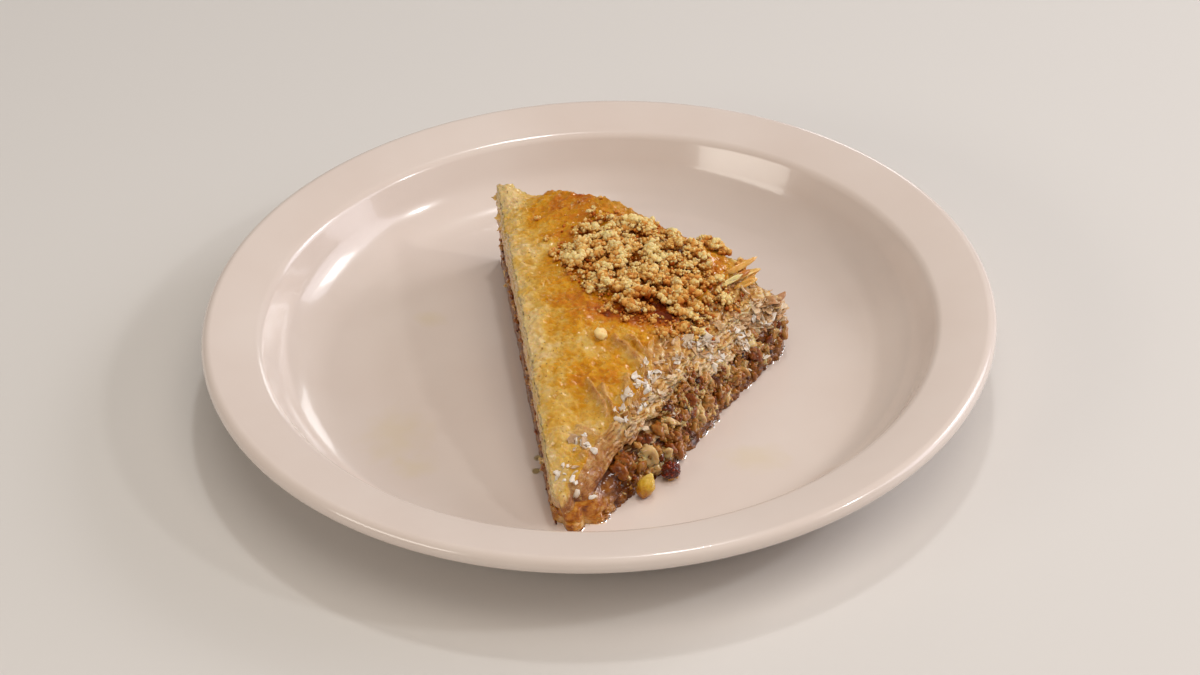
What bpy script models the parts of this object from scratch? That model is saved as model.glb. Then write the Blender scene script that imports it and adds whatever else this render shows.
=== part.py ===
"""A triangular piece of baklava on its dessert plate.

Units are metres and +Z is up. The origin is the centre of the ring that the plate stands on. The piece lies
with its thin tip towards -Y, its closed cut face towards -X and its crumbled cut face towards +X.
"""

import math
import random

import bmesh
import bpy
from mathutils import Euler, Matrix, Vector, noise
from mathutils.bvhtree import BVHTree

MM = 0.001
GAP = 0.3 * MM  # between pieces that touch

# Plate: a narrow-rimmed plate of 184 mm, turned round Z
PLATE_RADIUS = 92 * MM
RIM_TOP = 21 * MM
RIM_ROLL = 2 * MM  # radius of the rolled outer edge
RIM_SLOPE = math.radians(11.6)  # the rim rises outwards
WELL_RADIUS = 63 * MM  # flat floor, out to where the wall starts to curve
WELL_FLOOR = 5.5 * MM
WELL_CURVE = 14 * MM  # radius of the curve from floor to wall
WALL_SLOPE = math.radians(62)
WALL_STRAIGHT = 5 * MM
RIM_BREAK = 3 * MM  # radius where the wall turns into the rim
PLATE_THICKNESS = 3.5 * MM
FOOT_OUTER = 57 * MM
FOOT_INNER = 53 * MM
FOOT_DRAFT = 0.7 * MM
PLATE_STEPS = 60

# Baklava in plan: a long triangle with a blunt tip
TIP_LEFT = Vector((-11.2, -62.2)) * MM
TIP_RIGHT = Vector((-3.0, -62.5)) * MM
BACK_LEFT = Vector((-23.4, 43.0)) * MM
BACK_RIGHT = Vector((45.5, 3.0)) * MM
CORNER_WEAR = 1.6 * MM  # the right corner is worn round
CORNER_START = 0.85
FACE_BOW = 1.9 * MM  # the crumbled face swells out before its middle
BOW_PLACE = 0.40
BOW_WIDTH = 0.17
LENGTH = BACK_LEFT.y - TIP_LEFT.y
CRUST_GRID = (12, 24)  # cells across and along
LAYER_GRID = (7, 20)  # of the two layers below

# Height of the baklava over the plate's foot
TIP_TOP = 11.5 * MM
RIDGE_RISE = 18 * MM
RIDGE_POWER = 3.4  # how soon the ridge gets its height behind the tip
RIDGE_START_X = -7 * MM
RIDGE_LEAN = 9.6 / 104  # the ridge drifts this much towards +X for each length along Y
FALL_RIGHT = 4.8  # per metre: the top falls by this times the squared distance from the ridge
FALL_LEFT = 4.5
BASE_SHARE = 0.24  # bottom pastry's share of the height over the plate
FILLING_SHARE = 0.62  # bottom pastry and filling together

# Cut faces
LEAN_BASE = 0.6 * MM  # how far the crumbled face leans back over each layer
LEAN_FILLING = 1.8 * MM
LEAN_CRUST = 4.8 * MM
LEAN_AT_TIP = 0.45  # share of the lean that is left at the tip
LEAN_AT_CORNER = 0.1  # and at the right corner
LEAF_OUT = 0.4 * MM  # every other leaf of the crust stands out by this
LEAF_IN = -0.3 * MM
TIP_LENGTH = 0.12  # share of the piece's length that counts as its tip
CRUST_TIP_INSET = 3 * MM  # the crust's own tip is narrower by this
FULL_CRAGS_FROM = 0.2  # share of the length behind which the faces are as rough as stated
EDGE_WIDTH = 16 * MM  # the crust rounds off over this width at the crumbled face
EDGE_DROP = 5 * MM
EDGE_FROM_CORNER = 28 * MM  # within this of the right corner the edge drops less

# Swellings and hollows of the crust: X, Y, half width, height
SWELLINGS = (
    (5.5, 32.0, 12.0, 4.2),
    (-6.0, 38.0, 6.0, 1.6),
    (-13.8, 37.0, 3.6, -1.3),
    (-22.0, 41.5, 4.5, 2.2),
    (-4.5, -14.0, 8.0, 1.0),
    (4.2, -33.0, 5.0, 1.4),
    (-3.0, -40.0, 3.5, -0.7),
    (-8.0, -49.0, 5.0, 0.7),
    (-14.0, -2.0, 5.0, 0.5),
    (-10.0, 14.0, 5.0, -0.5),
)

# Heap of chopped nuts on the crust: an ellipse in plan
HEAP_CENTRE = Vector((12.3, 8.5)) * MM
HEAP_TURN = math.radians(-67.5)
HEAP_HALF_LENGTH = 26 * MM
HEAP_HALF_WIDTH = 21 * MM
HEAP_FROM_BACK = 3.2 * MM  # bare crust behind the heap
SHOULDER = 14 * MM  # the crust slopes too much for the heap's core within this of the crumbled face
HEAP_CORE = 0.8  # the core ends where heap_share reaches this
HEAP_SPREAD = 0.97
HEAP_EDGE = 0.4 * MM
HEAP_HEIGHT = 2.4 * MM
HEAP_PIECES = 88
HEAP_LARGEST = 2.5 * MM  # radius
HEAP_SMALLEST = 1.3 * MM

# Clumps of nut on the back edge, clear of the heap: X, Y, radius, height of the centre over the crust
BACK_CLUMPS = (
    (25.0, 13.0, 1.9, 1.2),
    (27.7, 12.0, 2.4, 1.6),
    (26.5, 12.7, 1.7, 3.7),
    (29.9, 10.6, 1.7, 1.0),
    (33.6, 8.7, 2.0, 1.4),
    (36.0, 7.4, 1.4, 0.8),
)

# The one round crumb that lies before the heap
LONE_CRUMB = Vector((0.4, -21.0)) * MM
LONE_CRUMB_RADIUS = 1.9 * MM
LONE_CRUMB_RISE = 1.1 * MM  # its centre over the crust

# Dry white leaves on the crust's shoulder, between the heap and the crumbled face: X, Y
SHOULDER_FLAKES = (
    (22.8, -18.4),
    (27.3, -16.9),
    (30.5, -12.0),
    (33.7, -7.8),
    (18.0, -22.5),
    (13.5, -27.5),
    (8.6, -34.0),
    (3.0, -40.5),
    (-3.0, -46.5),
    (-5.8, -53.0),
)

# Stiff leaves at the right corner
SHARD_PLACE = Vector((34.0, 5.4)) * MM
SHARD_REACH = 5.5 * MM

# Chopped nuts that show in the cut faces
FACE_PIECES = (("right", 38, 2.3 * MM), ("left", 8, 1.3 * MM), ("back", 12, 1.8 * MM))
SMALLEST_PIECE = 0.9 * MM
FACE_FLAKES = 9
SPILL_START = 0.38  # where filling has slid down to the plate, as a share of the piece's length
SPILL_STEP = 0.045
SPILL_COLUMNS = 4
SPILL_COLUMN = ((-1.3, 12.8, 2.3), (0.5, 10.8, 2.0), (1.6, 8.2, 1.7))  # distance out, height, radius

# Nuts that lie loose on the plate: half sizes, centre, turn
LOOSE_WALNUT = (Vector((2.2, 2.0, 3.4)) * MM, Vector((9.0, -51.5, 9.1)) * MM, Euler((0.45, 0.2, 0.5)))
DARK_NUT = (Vector((2.5, 2.2, 2.3)) * MM, Vector((14.7, -45.6, 8.3)) * MM, Euler((0.2, 0.1, 0.6)))


def clear_scene():
    for obj in list(bpy.data.objects):
        bpy.data.objects.remove(obj, do_unlink=True)


def new_collection(name):
    collection = bpy.data.collections.new(name)
    bpy.context.scene.collection.children.link(collection)
    return collection


def finish_of(name, colour, roughness):
    """A Principled material from its linear colour and roughness."""
    material = bpy.data.materials.new(name)
    material.use_nodes = True
    shader = material.node_tree.nodes["Principled BSDF"]
    shader.inputs["Base Color"].default_value = (*colour, 1)
    shader.inputs["Roughness"].default_value = roughness
    shader.inputs["Metallic"].default_value = 0
    return material


def add_object(name, bm, material, collection):
    mesh = bpy.data.meshes.new(name)
    bm.to_mesh(mesh)
    bm.free()
    mesh.materials.append(material)
    obj = bpy.data.objects.new(name, mesh)
    collection.objects.link(obj)
    return obj


def shade(obj, degrees):
    obj.data.shade_smooth()
    obj.data.set_sharp_from_angle(angle=math.radians(degrees))


def arc(centre, radius, start, end, steps):
    """Points on an arc in the (radius, height) plane. Angles are in radians from straight down, towards +X."""
    angles = (start + (end - start) * i / steps for i in range(steps + 1))
    return [(centre[0] + radius * math.sin(a), centre[1] - radius * math.cos(a)) for a in angles]


def plate_profile():
    """The plate's section, from the axis along its upper side, round the rim and back under to the axis."""
    curve_centre = (WELL_RADIUS, WELL_FLOOR + WELL_CURVE)
    points = [(0, WELL_FLOOR)]
    points += arc(curve_centre, WELL_CURVE, 0, WALL_SLOPE, 4)
    wall_top = (
        points[-1][0] + WALL_STRAIGHT * math.cos(WALL_SLOPE),
        points[-1][1] + WALL_STRAIGHT * math.sin(WALL_SLOPE),
    )
    break_centre = (
        wall_top[0] + RIM_BREAK * math.sin(WALL_SLOPE),
        wall_top[1] - RIM_BREAK * math.cos(WALL_SLOPE),
    )
    points += arc(break_centre, RIM_BREAK, math.pi + WALL_SLOPE, math.pi + RIM_SLOPE, 2)
    roll_centre = (PLATE_RADIUS - RIM_ROLL, RIM_TOP - RIM_ROLL)
    points += arc(roll_centre, RIM_ROLL, math.pi + RIM_SLOPE, RIM_SLOPE, 4)
    outer_curve = arc(curve_centre, WELL_CURVE + PLATE_THICKNESS, WALL_SLOPE, 0, 3)
    rim_line = math.tan(RIM_SLOPE)
    wall_line = math.tan(WALL_SLOPE)
    under_rim = points[-1]
    wall_foot = outer_curve[0]
    height_apart = under_rim[1] - wall_foot[1] + wall_line * wall_foot[0] - rim_line * under_rim[0]
    corner_radius = height_apart / (wall_line - rim_line)
    points.append((corner_radius, wall_foot[1] + wall_line * (corner_radius - wall_foot[0])))
    points += outer_curve
    underside = WELL_FLOOR - PLATE_THICKNESS
    points += [(FOOT_OUTER + FOOT_DRAFT, underside), (FOOT_OUTER, 0), (FOOT_INNER, 0)]
    points += [(FOOT_INNER - FOOT_DRAFT, underside), (0, underside)]
    return points


def make_plate(collection):
    material = finish_of("ivory glazed stoneware", (0.68, 0.56, 0.47), 0.2)
    bm = bmesh.new()
    verts = [bm.verts.new((radius, 0, height)) for radius, height in plate_profile()]
    for lower, upper in zip(verts, verts[1:]):
        bm.edges.new((lower, upper))
    plate = add_object("plate", bm, material, collection)
    turn = plate.modifiers.new("turn", "SCREW")
    turn.axis = "Z"
    turn.steps = PLATE_STEPS
    turn.render_steps = PLATE_STEPS
    turn.use_merge_vertices = True
    turn.merge_threshold = 0.01 * MM
    turn.use_smooth_shade = True
    return plate


def outward(start, end):
    """Unit vector away from the piece, square to an edge walked with the piece on its left."""
    along = (end - start).normalized()
    return Vector((along.y, -along.x))


RIGHT_OUT = outward(TIP_RIGHT, BACK_RIGHT)
BACK_OUT = outward(BACK_RIGHT, BACK_LEFT)
LEFT_OUT = outward(BACK_LEFT, TIP_LEFT)
TIP_OUT = outward(TIP_LEFT, TIP_RIGHT)


def plan_point(across, along, sides):
    """A place in plan. across runs from the left face to the right one and along from the tip to the back
    edge, both 0 to 1. sides says how far each face stands out: left, right, back, tip, and how far the right
    one is set back at the tip itself."""
    left, right, back, tip, tip_inset = sides
    at_tip = max(0.0, 1 - along / TIP_LENGTH)
    at_corner = max(0.0, (along - CORNER_START) / (1 - CORNER_START))
    right *= (1 - (1 - LEAN_AT_TIP) * at_tip) * (1 - (1 - LEAN_AT_CORNER) * at_corner)
    right += FACE_BOW * math.exp(-(((along - BOW_PLACE) / BOW_WIDTH) ** 2)) - tip_inset * at_tip
    left_point = TIP_LEFT.lerp(BACK_LEFT, along) + LEFT_OUT * left
    right_point = TIP_RIGHT.lerp(BACK_RIGHT, along) + RIGHT_OUT * right
    right_point -= (RIGHT_OUT + BACK_OUT) * CORNER_WEAR * at_corner**2
    return left_point.lerp(right_point, across) + BACK_OUT * back * along + TIP_OUT * tip * (1 - along)


def squared_falloff(distance, width):
    return max(0.0, min(1.0, 1 - distance / width)) ** 2


def gentle_top(point):
    """The crust's height without its small swellings. The layers below take a share of it."""
    along = max(0.0, min(1.0, (point.y - TIP_LEFT.y) / LENGTH))
    ridge = TIP_TOP + RIDGE_RISE * (1 - (1 - along) ** RIDGE_POWER)
    ridge_x = RIDGE_START_X + RIDGE_LEAN * (point.y - TIP_LEFT.y)
    aside = point.x - ridge_x
    fall = (FALL_RIGHT if aside > 0 else FALL_LEFT) * aside * aside
    inside = (TIP_RIGHT - point).dot(RIGHT_OUT) - LEAN_BASE - LEAN_FILLING - LEAN_CRUST
    from_corner = min(1.0, (point - BACK_RIGHT).length / EDGE_FROM_CORNER)
    return ridge - fall - EDGE_DROP * along * from_corner * squared_falloff(inside, EDGE_WIDTH)


def base_top(point):
    return WELL_FLOOR + BASE_SHARE * (gentle_top(point) - WELL_FLOOR)


def filling_top(point):
    return WELL_FLOOR + FILLING_SHARE * (gentle_top(point) - WELL_FLOOR)


def crust_top(point):
    """The golden upper side, with its swellings, rounded left and back edges and a fine puckering."""
    height = gentle_top(point)
    for x, y, half_width, rise in SWELLINGS:
        away = (point - Vector((x, y)) * MM).length / (half_width * MM)
        height += rise * MM * math.exp(-away * away)
    from_left = (BACK_LEFT - point).dot(LEFT_OUT)
    from_back = (BACK_LEFT - point).dot(BACK_OUT)
    height -= 1.3 * MM * squared_falloff(from_left, 5 * MM)
    height -= 0.7 * MM * squared_falloff(from_back, 4 * MM)
    return height + 0.35 * MM * noise.noise(Vector((point.x, point.y, 0)) / (7 * MM))


def layer(name, material, collection, grid, bottom, top, levels):
    """A layer of the piece, raised from a grid: each level is (share of the layer's height, sides, roughness
    of the cut faces), and the last one carries the top surface."""
    bm = bmesh.new()
    across = bm.verts.layers.float.new("across")
    along = bm.verts.layers.float.new("along")
    bmesh.ops.create_grid(bm, x_segments=grid[0], y_segments=grid[1], size=0.5)
    for vert in bm.verts:
        vert[across] = vert.co.x + 0.5
        vert[along] = vert.co.y + 0.5
    cap = bm.faces[:]
    for number, (share, sides, rough) in enumerate(levels):
        if number:
            edges = dict.fromkeys(edge for face in cap for edge in face.edges)
            raised = bmesh.ops.extrude_face_region(bm, geom=[*cap, *edges])
            cap = [item for item in raised["geom"] if isinstance(item, bmesh.types.BMFace)]
        for vert in dict.fromkeys(vert for face in cap for vert in face.verts):
            point = plan_point(vert[across], vert[along], sides)
            room = min(1.0, 0.05 + (vert[along] / FULL_CRAGS_FROM) ** 2)
            point += crag(vert[across], vert[along], number, name) * rough * room
            low = bottom(point)
            vert.co = (point.x, point.y, low + (top(point) - low) * share)
    bmesh.ops.recalc_face_normals(bm, faces=bm.faces)
    bmesh.ops.triangulate(bm, faces=bm.faces)
    return add_object(name, bm, material, collection)


def crag(across, along, number, name):
    """How the edge of one leaf of a layer stands out of its cut face, as a vector about 1 long."""
    out = Vector((0.0, 0.0))
    if across < 0.001:
        out += LEFT_OUT * 0.3
    if across > 0.999:
        out += RIGHT_OUT
    if along > 0.999:
        out += BACK_OUT * 0.4
    if along < 0.001:
        out += TIP_OUT * 0.3
    if out.length == 0:
        return out
    place = Vector((across * 6 + len(name), along * 9, number * 3.7))
    return out * noise.noise(place)


def lump(name, radius, centre, shape, turn, rng, collection, rough=0.16):
    """A chopped piece with 20 sides, squeezed to its shape and with each corner moved a little."""
    bm = bmesh.new()
    bmesh.ops.create_icosphere(bm, subdivisions=1, radius=1)
    place = Matrix.Translation(centre) @ turn.to_matrix().to_4x4() @ Matrix.Diagonal((*shape, 1))
    for vert in bm.verts:
        vert.co = place @ (vert.co * radius * (1 + rng.uniform(-rough, rough)))
    mesh = bpy.data.meshes.new(name)
    bm.to_mesh(mesh)
    bm.free()
    obj = bpy.data.objects.new(name, mesh)
    collection.objects.link(obj)
    return obj


def any_turn(rng):
    return Euler([rng.uniform(0, math.tau) for _ in range(3)])


def any_shape(rng):
    return (rng.uniform(0.85, 1.2), rng.uniform(0.75, 1.0), rng.uniform(0.75, 1.0))


def fuse(core, pieces):
    """One union of the core with a collection of pieces, which are then removed. Only the outer skin is kept,
    so a sealed hollow is filled and a loose scrap dropped."""
    union = core.modifiers.new("fuse", "BOOLEAN")
    union.operation = "UNION"
    union.operand_type = "COLLECTION"
    union.collection = pieces
    union.solver = "EXACT"
    graph = bpy.context.evaluated_depsgraph_get()
    fused = bpy.data.meshes.new_from_object(core.evaluated_get(graph))
    core.modifiers.clear()
    core.data = fused
    for piece in list(pieces.objects):
        bpy.data.objects.remove(piece, do_unlink=True)
    bpy.data.collections.remove(pieces)
    keep_outer_skin(fused)


def skins_of(bm):
    """The separate closed skins of a mesh, each a list of faces."""
    reached = set()
    for start in bm.faces:
        if start in reached:
            continue
        reached.add(start)
        skin = [start]
        for face in skin:
            for edge in face.edges:
                for other in edge.link_faces:
                    if other not in reached:
                        reached.add(other)
                        skin.append(other)
        yield skin


def keep_outer_skin(mesh):
    bm = bmesh.new()
    bm.from_mesh(mesh)
    bmesh.ops.remove_doubles(bm, verts=bm.verts, dist=0.005 * MM)
    skins = sorted(skins_of(bm), key=len)
    for skin in skins[:-1]:
        bmesh.ops.delete(bm, geom=skin, context="FACES")
    loose = [vert for vert in bm.verts if not vert.link_faces]
    bmesh.ops.delete(bm, geom=loose, context="VERTS")
    bm.to_mesh(mesh)
    bm.free()


def lean(share, start, amount, tip_inset=0):
    """Sides of a layer whose crumbled face leans back from start, by amount over the layer's height."""
    return (0, -start - amount * share, 0, -0.15 * start, tip_inset)


def crust_lean(share):
    return lean(share, LEAN_BASE + LEAN_FILLING, LEAN_CRUST, CRUST_TIP_INSET)


def stand_out(sides, leaf):
    """The same sides with a leaf that stands out by this much, twice as far on the crumbled face."""
    left, right, back, tip, tip_inset = sides
    return (left + leaf, right + 2 * leaf, back + leaf, tip + leaf, tip_inset)


def make_base(collection):
    material = finish_of("syrup-soaked bottom pastry", (0.32, 0.13, 0.035), 0.3)
    levels = []
    for number, share in enumerate((0, 0.35, 0.7, 1)):
        leaf = (0.2 if number % 2 else -0.1) * MM
        levels.append((share, stand_out(lean(share, 0, LEAN_BASE), leaf), 0.5 * MM))

    def bottom(point):
        return WELL_FLOOR + GAP

    base = layer("base_pastry", material, collection, LAYER_GRID, bottom, base_top, levels)
    flatten_underside(base.data)
    return base


def flatten_underside(mesh):
    """Joins the flat faces that rest on the plate."""
    bm = bmesh.new()
    bm.from_mesh(mesh)
    flat = [edge for edge in bm.edges if all(face.normal.z < -0.999 for face in edge.link_faces)]
    bmesh.ops.dissolve_edges(bm, edges=flat, use_verts=True)
    bmesh.ops.triangulate(bm, faces=bm.faces)
    bm.to_mesh(mesh)
    bm.free()


def make_filling(collection, rng):
    material = finish_of("chopped walnut filling", (0.30, 0.17, 0.08), 0.45)

    def bottom(point):
        return base_top(point) + GAP

    levels = []
    for share in (0, 0.35, 0.7, 1):
        levels.append((share, lean(share, LEAN_BASE, LEAN_FILLING), 1.1 * MM))
    filling = layer("nut_filling", material, collection, LAYER_GRID, bottom, filling_top, levels)
    pieces = new_collection("nuts in the cut faces")
    for face, count, largest in FACE_PIECES:
        for number in range(count):
            face_piece(face, number, count, largest, bottom, rng, pieces)
    for place in range(SPILL_COLUMNS):
        spilled_pieces(place, rng, pieces)
    for number in range(FACE_FLAKES):
        face_flake(number, bottom, rng, pieces)
    fuse(filling, pieces)
    return filling


def face_flake(number, bottom, rng, pieces):
    """Dry white leaves that lie on the crumbled face, under the crust's edge."""
    share = 0.35 + 0.4 * (number * 0.618 % 1)
    point = plan_point(1, 0.34 + 0.065 * number, lean(share, LEAN_BASE, LEAN_FILLING))
    point += RIGHT_OUT * 0.8 * MM
    low = bottom(point)
    height = low + (filling_top(point) - low) * share
    size = Vector((rng.uniform(2.4, 3.6), rng.uniform(1.6, 2.4), 0.8)) * MM
    turn = Euler((rng.uniform(-0.4, 0.4), rng.uniform(0.2, 0.6), rng.uniform(-1.2, 0.2)))
    flake("flake", size, (*point, height), turn, rng, pieces)


def face_piece(face, number, count, largest, bottom, rng, pieces):
    """One nut piece in a cut face, between the pastry below and the crust above. The places run evenly along
    the face, and the heights step by the golden ratio so that neighbours don't line up."""
    step = (number + rng.uniform(0.2, 0.8)) / count
    share = (number * 0.618 + rng.uniform(-0.1, 0.1)) % 1
    sides = lean(share, LEAN_BASE, LEAN_FILLING)
    if face == "right":
        point, out = plan_point(1, 0.03 + 0.95 * step, sides), RIGHT_OUT
    elif face == "left":
        point, out = plan_point(0, 0.06 + 0.9 * step, sides), LEFT_OUT
    else:
        point, out = plan_point(0.04 + 0.92 * step, 1, sides), BACK_OUT
    size = 1 - number * 0.618 * 1.7 % 1
    room = (filling_top(point) - bottom(point)) * 0.36
    radius = max(SMALLEST_PIECE, min(room, largest * (0.55 + 0.45 * size)))
    lowest = max(bottom(point - out * radius), bottom(point + out * radius)) + 1.2 * radius
    highest = min(filling_top(point - out * radius), filling_top(point + out * radius)) - 1.2 * radius
    if highest < lowest:
        return
    height = lowest + (highest - lowest) * share
    centre = point + out * radius * rng.uniform(0.0, 0.35)
    lump("nut", radius, (*centre, height), any_shape(rng), any_turn(rng), rng, pieces)


def spilled_pieces(place, rng, pieces):
    """Filling that has slid down over the bottom pastry's edge to the plate, as a short column of pieces."""
    foot = plan_point(1, SPILL_START + SPILL_STEP * place, lean(0, 0, 0))
    for out, height, radius in SPILL_COLUMN:
        centre = foot + RIGHT_OUT * (out * MM + rng.uniform(0, 0.3) * MM)
        height += rng.uniform(-0.3, 0.3)
        lump("nut", radius * MM, (*centre, height * MM), (1, 1, 0.95), any_turn(rng), rng, pieces, rough=0.1)


def make_crust(collection, rng):
    material = finish_of("golden top pastry", (0.60, 0.30, 0.06), 0.25)

    def bottom(point):
        return filling_top(point) + GAP

    levels = []
    for number, share in enumerate((0, 0.25, 0.5, 0.75, 1)):
        leaf = LEAF_OUT if number % 2 else LEAF_IN
        levels.append((share, stand_out(crust_lean(share), leaf), 1.6 * MM))
    crust = layer("top_pastry", material, collection, CRUST_GRID, bottom, crust_top, levels)
    ground = surface_of(crust)
    pieces = new_collection("flakes and a crumb")
    centre = (*LONE_CRUMB, height_on(ground, LONE_CRUMB) + LONE_CRUMB_RISE)
    lump("crumb", LONE_CRUMB_RADIUS, centre, (1, 1, 1), any_turn(rng), rng, pieces, rough=0.06)
    for x, y, radius, rise in BACK_CLUMPS:
        place = Vector((x, y)) * MM
        centre = (*place, height_on(ground, place) + rise * MM)
        lump("nut", radius * MM, centre, any_shape(rng), any_turn(rng), rng, pieces)
    for x, y in SHOULDER_FLAKES:
        shoulder_flake(Vector((x, y)) * MM, ground, rng, pieces)
    for number in range(3):
        shard(number, ground, rng, pieces)
    fuse(crust, pieces)
    return crust


def surface_of(obj):
    bm = bmesh.new()
    bm.from_mesh(obj.data)
    tree = BVHTree.FromBMesh(bm)
    bm.free()
    return tree


def height_on(tree, point):
    """Height of the first face below, or None beside the object."""
    hit = tree.ray_cast(Vector((point.x, point.y, 100 * MM)), Vector((0, 0, -1)))[0]
    return hit.z if hit else None


def flake(name, size, centre, turn, rng, pieces):
    """A torn leaf of pastry: a thin box with its corners moved and its far end lifted."""
    bm = bmesh.new()
    bmesh.ops.create_cube(bm, size=1)
    for vert in bm.verts:
        vert.co.x += rng.uniform(-0.15, 0.15)
        vert.co.y += rng.uniform(-0.2, 0.2)
        vert.co = Vector((vert.co.x * size[0], vert.co.y * size[1], vert.co.z * size[2]))
    bmesh.ops.triangulate(bm, faces=bm.faces)
    bmesh.ops.transform(bm, matrix=Matrix.Translation(centre) @ turn.to_matrix().to_4x4(), verts=bm.verts)
    mesh = bpy.data.meshes.new(name)
    bm.to_mesh(mesh)
    bm.free()
    pieces.objects.link(bpy.data.objects.new(name, mesh))


def shoulder_flake(point, ground, rng, pieces):
    size = Vector((rng.uniform(3.0, 4.6), rng.uniform(1.8, 2.8), 0.8)) * MM
    turn = Euler((rng.uniform(-0.4, 0.4), rng.uniform(0.1, 0.6), rng.uniform(-1.2, 0.2)))
    flake("flake", size, (*point, height_on(ground, point) + 0.4 * MM), turn, rng, pieces)


def shard(number, ground, rng, pieces):
    """Stiff golden leaves at the back right corner, fanned side by side."""
    point = SHARD_PLACE + Vector((0.6, -1.1)) * MM * (number - 1)
    turn = Euler((0.15 * number, -0.25, math.radians(48 - 12 * number)))
    size = Vector((7.2 - number, 1.3, 0.8)) * MM
    flake("shard", size, (*point, height_on(ground, point) + 0.6 * MM), turn, rng, pieces)


def heap_share(point):
    """0 at the middle of the heap, 1 on its outline."""
    aside = point - HEAP_CENTRE
    length = aside.dot(Vector((math.cos(HEAP_TURN), math.sin(HEAP_TURN)))) / HEAP_HALF_LENGTH
    width = aside.dot(Vector((-math.sin(HEAP_TURN), math.cos(HEAP_TURN)))) / HEAP_HALF_WIDTH
    return length * length + width * width


def heap_thickness(point):
    return HEAP_EDGE + HEAP_HEIGHT * max(0.0, 1 - heap_share(point)) ** 0.7


def make_heap(collection, ground, rng):
    """The core lies on the crust's own grid, so its underside follows the crust facet by facet."""
    material = finish_of("chopped walnuts", (0.55, 0.36, 0.13), 0.6)
    sides = stand_out(crust_lean(1), LEAF_OUT)
    bm = bmesh.new()
    bmesh.ops.create_grid(bm, x_segments=CRUST_GRID[0], y_segments=CRUST_GRID[1], size=0.5)
    for vert in bm.verts:
        point = plan_point(vert.co.x + 0.5, vert.co.y + 0.5, sides)
        vert.co = (point.x, point.y, crust_top(point) + GAP)
    outside = []
    for face in bm.faces:
        past_edge = heap_share(face.calc_center_median().xy) > HEAP_CORE
        if past_edge or any(kept_bare(vert.co.xy, MM) for vert in face.verts):
            outside.append(face)
    bmesh.ops.delete(bm, geom=outside, context="FACES")
    round_outline(bm, ground)
    cap = bmesh.ops.extrude_face_region(bm, geom=bm.faces[:])["geom"]
    for vert in [item for item in cap if isinstance(item, bmesh.types.BMVert)]:
        vert.co.z += heap_thickness(vert.co.xy)
    bmesh.ops.recalc_face_normals(bm, faces=bm.faces)
    bmesh.ops.triangulate(bm, faces=bm.faces)
    heap = add_object("walnut_crumbs", bm, material, collection)
    pieces = new_collection("chopped nuts")
    for number in range(HEAP_PIECES):
        heap_piece(number, ground, rng, pieces)
    fuse(heap, pieces)
    return heap


def kept_bare(point, room):
    """Whether the heap keeps off this place: the band along the back edge, the shards and the clumps."""
    if (BACK_LEFT - point).dot(BACK_OUT) < HEAP_FROM_BACK or (SHARD_PLACE - point).length < SHARD_REACH:
        return True
    for x, y, radius, rise in BACK_CLUMPS:
        if (Vector((x, y)) * MM - point).length < radius * MM + room:
            return True
    return False


def round_outline(bm, ground):
    """Moves the stepped outline of the heap's core onto the ellipse, where that stays on level crust."""
    for vert in bm.verts:
        if not vert.is_boundary:
            continue
        aside = vert.co.xy - HEAP_CENTRE
        point = HEAP_CENTRE + aside * math.sqrt(HEAP_CORE / heap_share(vert.co.xy))
        from_face = (TIP_RIGHT - point).dot(RIGHT_OUT)
        height = height_on(ground, point)
        if height is not None and from_face > SHOULDER and not kept_bare(point, MM):
            vert.co = (point.x, point.y, height + 2.5 * GAP)


def heap_piece(number, ground, rng, pieces):
    """One nut crumb of the heap. A sunflower spiral spreads them evenly."""
    radius = HEAP_SMALLEST + (HEAP_LARGEST - HEAP_SMALLEST) * rng.random()
    out = math.sqrt((number + 0.5) / HEAP_PIECES) * HEAP_SPREAD + rng.uniform(-0.03, 0.03)
    turn = number * math.radians(137.508)
    length = out * HEAP_HALF_LENGTH * math.cos(turn)
    width = out * HEAP_HALF_WIDTH * math.sin(turn)
    point = HEAP_CENTRE + Vector(
        (
            length * math.cos(HEAP_TURN) - width * math.sin(HEAP_TURN),
            length * math.sin(HEAP_TURN) + width * math.cos(HEAP_TURN),
        )
    )
    ground_height = height_on(ground, point)
    if ground_height is None or kept_bare(point, radius * 1.3):
        return
    height = ground_height + GAP + heap_thickness(point) + 0.2 * radius
    nut = lump("nut", radius, (*point, height), any_shape(rng), any_turn(rng), rng, pieces)
    lift_clear(nut.data, ground)


def lift_clear(mesh, ground):
    """Raises a piece until each of its corners is clear of the surface below."""
    lift = 0.0
    for vert in mesh.vertices:
        below = height_on(ground, vert.co)
        if below is not None:
            lift = max(lift, below + GAP - vert.co.z)
    for vert in mesh.vertices:
        vert.co.z += lift


def make_loose_nut(name, material, place, rng, collection):
    """A nut piece that has dropped from the crumbled face and leans against it on the plate."""
    size, centre, turn = place
    obj = lump(name, 1, (0, 0, 0), size, Euler((0, 0, 0)), rng, collection, rough=0.08)
    bm = bmesh.new()
    bm.from_mesh(obj.data)
    bmesh.ops.subdivide_edges(bm, edges=bm.edges, cuts=1, use_grid_fill=True, smooth=0.7)
    bmesh.ops.triangulate(bm, faces=bm.faces)
    bm.to_mesh(obj.data)
    bm.free()
    obj.data.materials.append(material)
    obj.location = centre
    obj.rotation_euler = turn
    return obj


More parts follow.
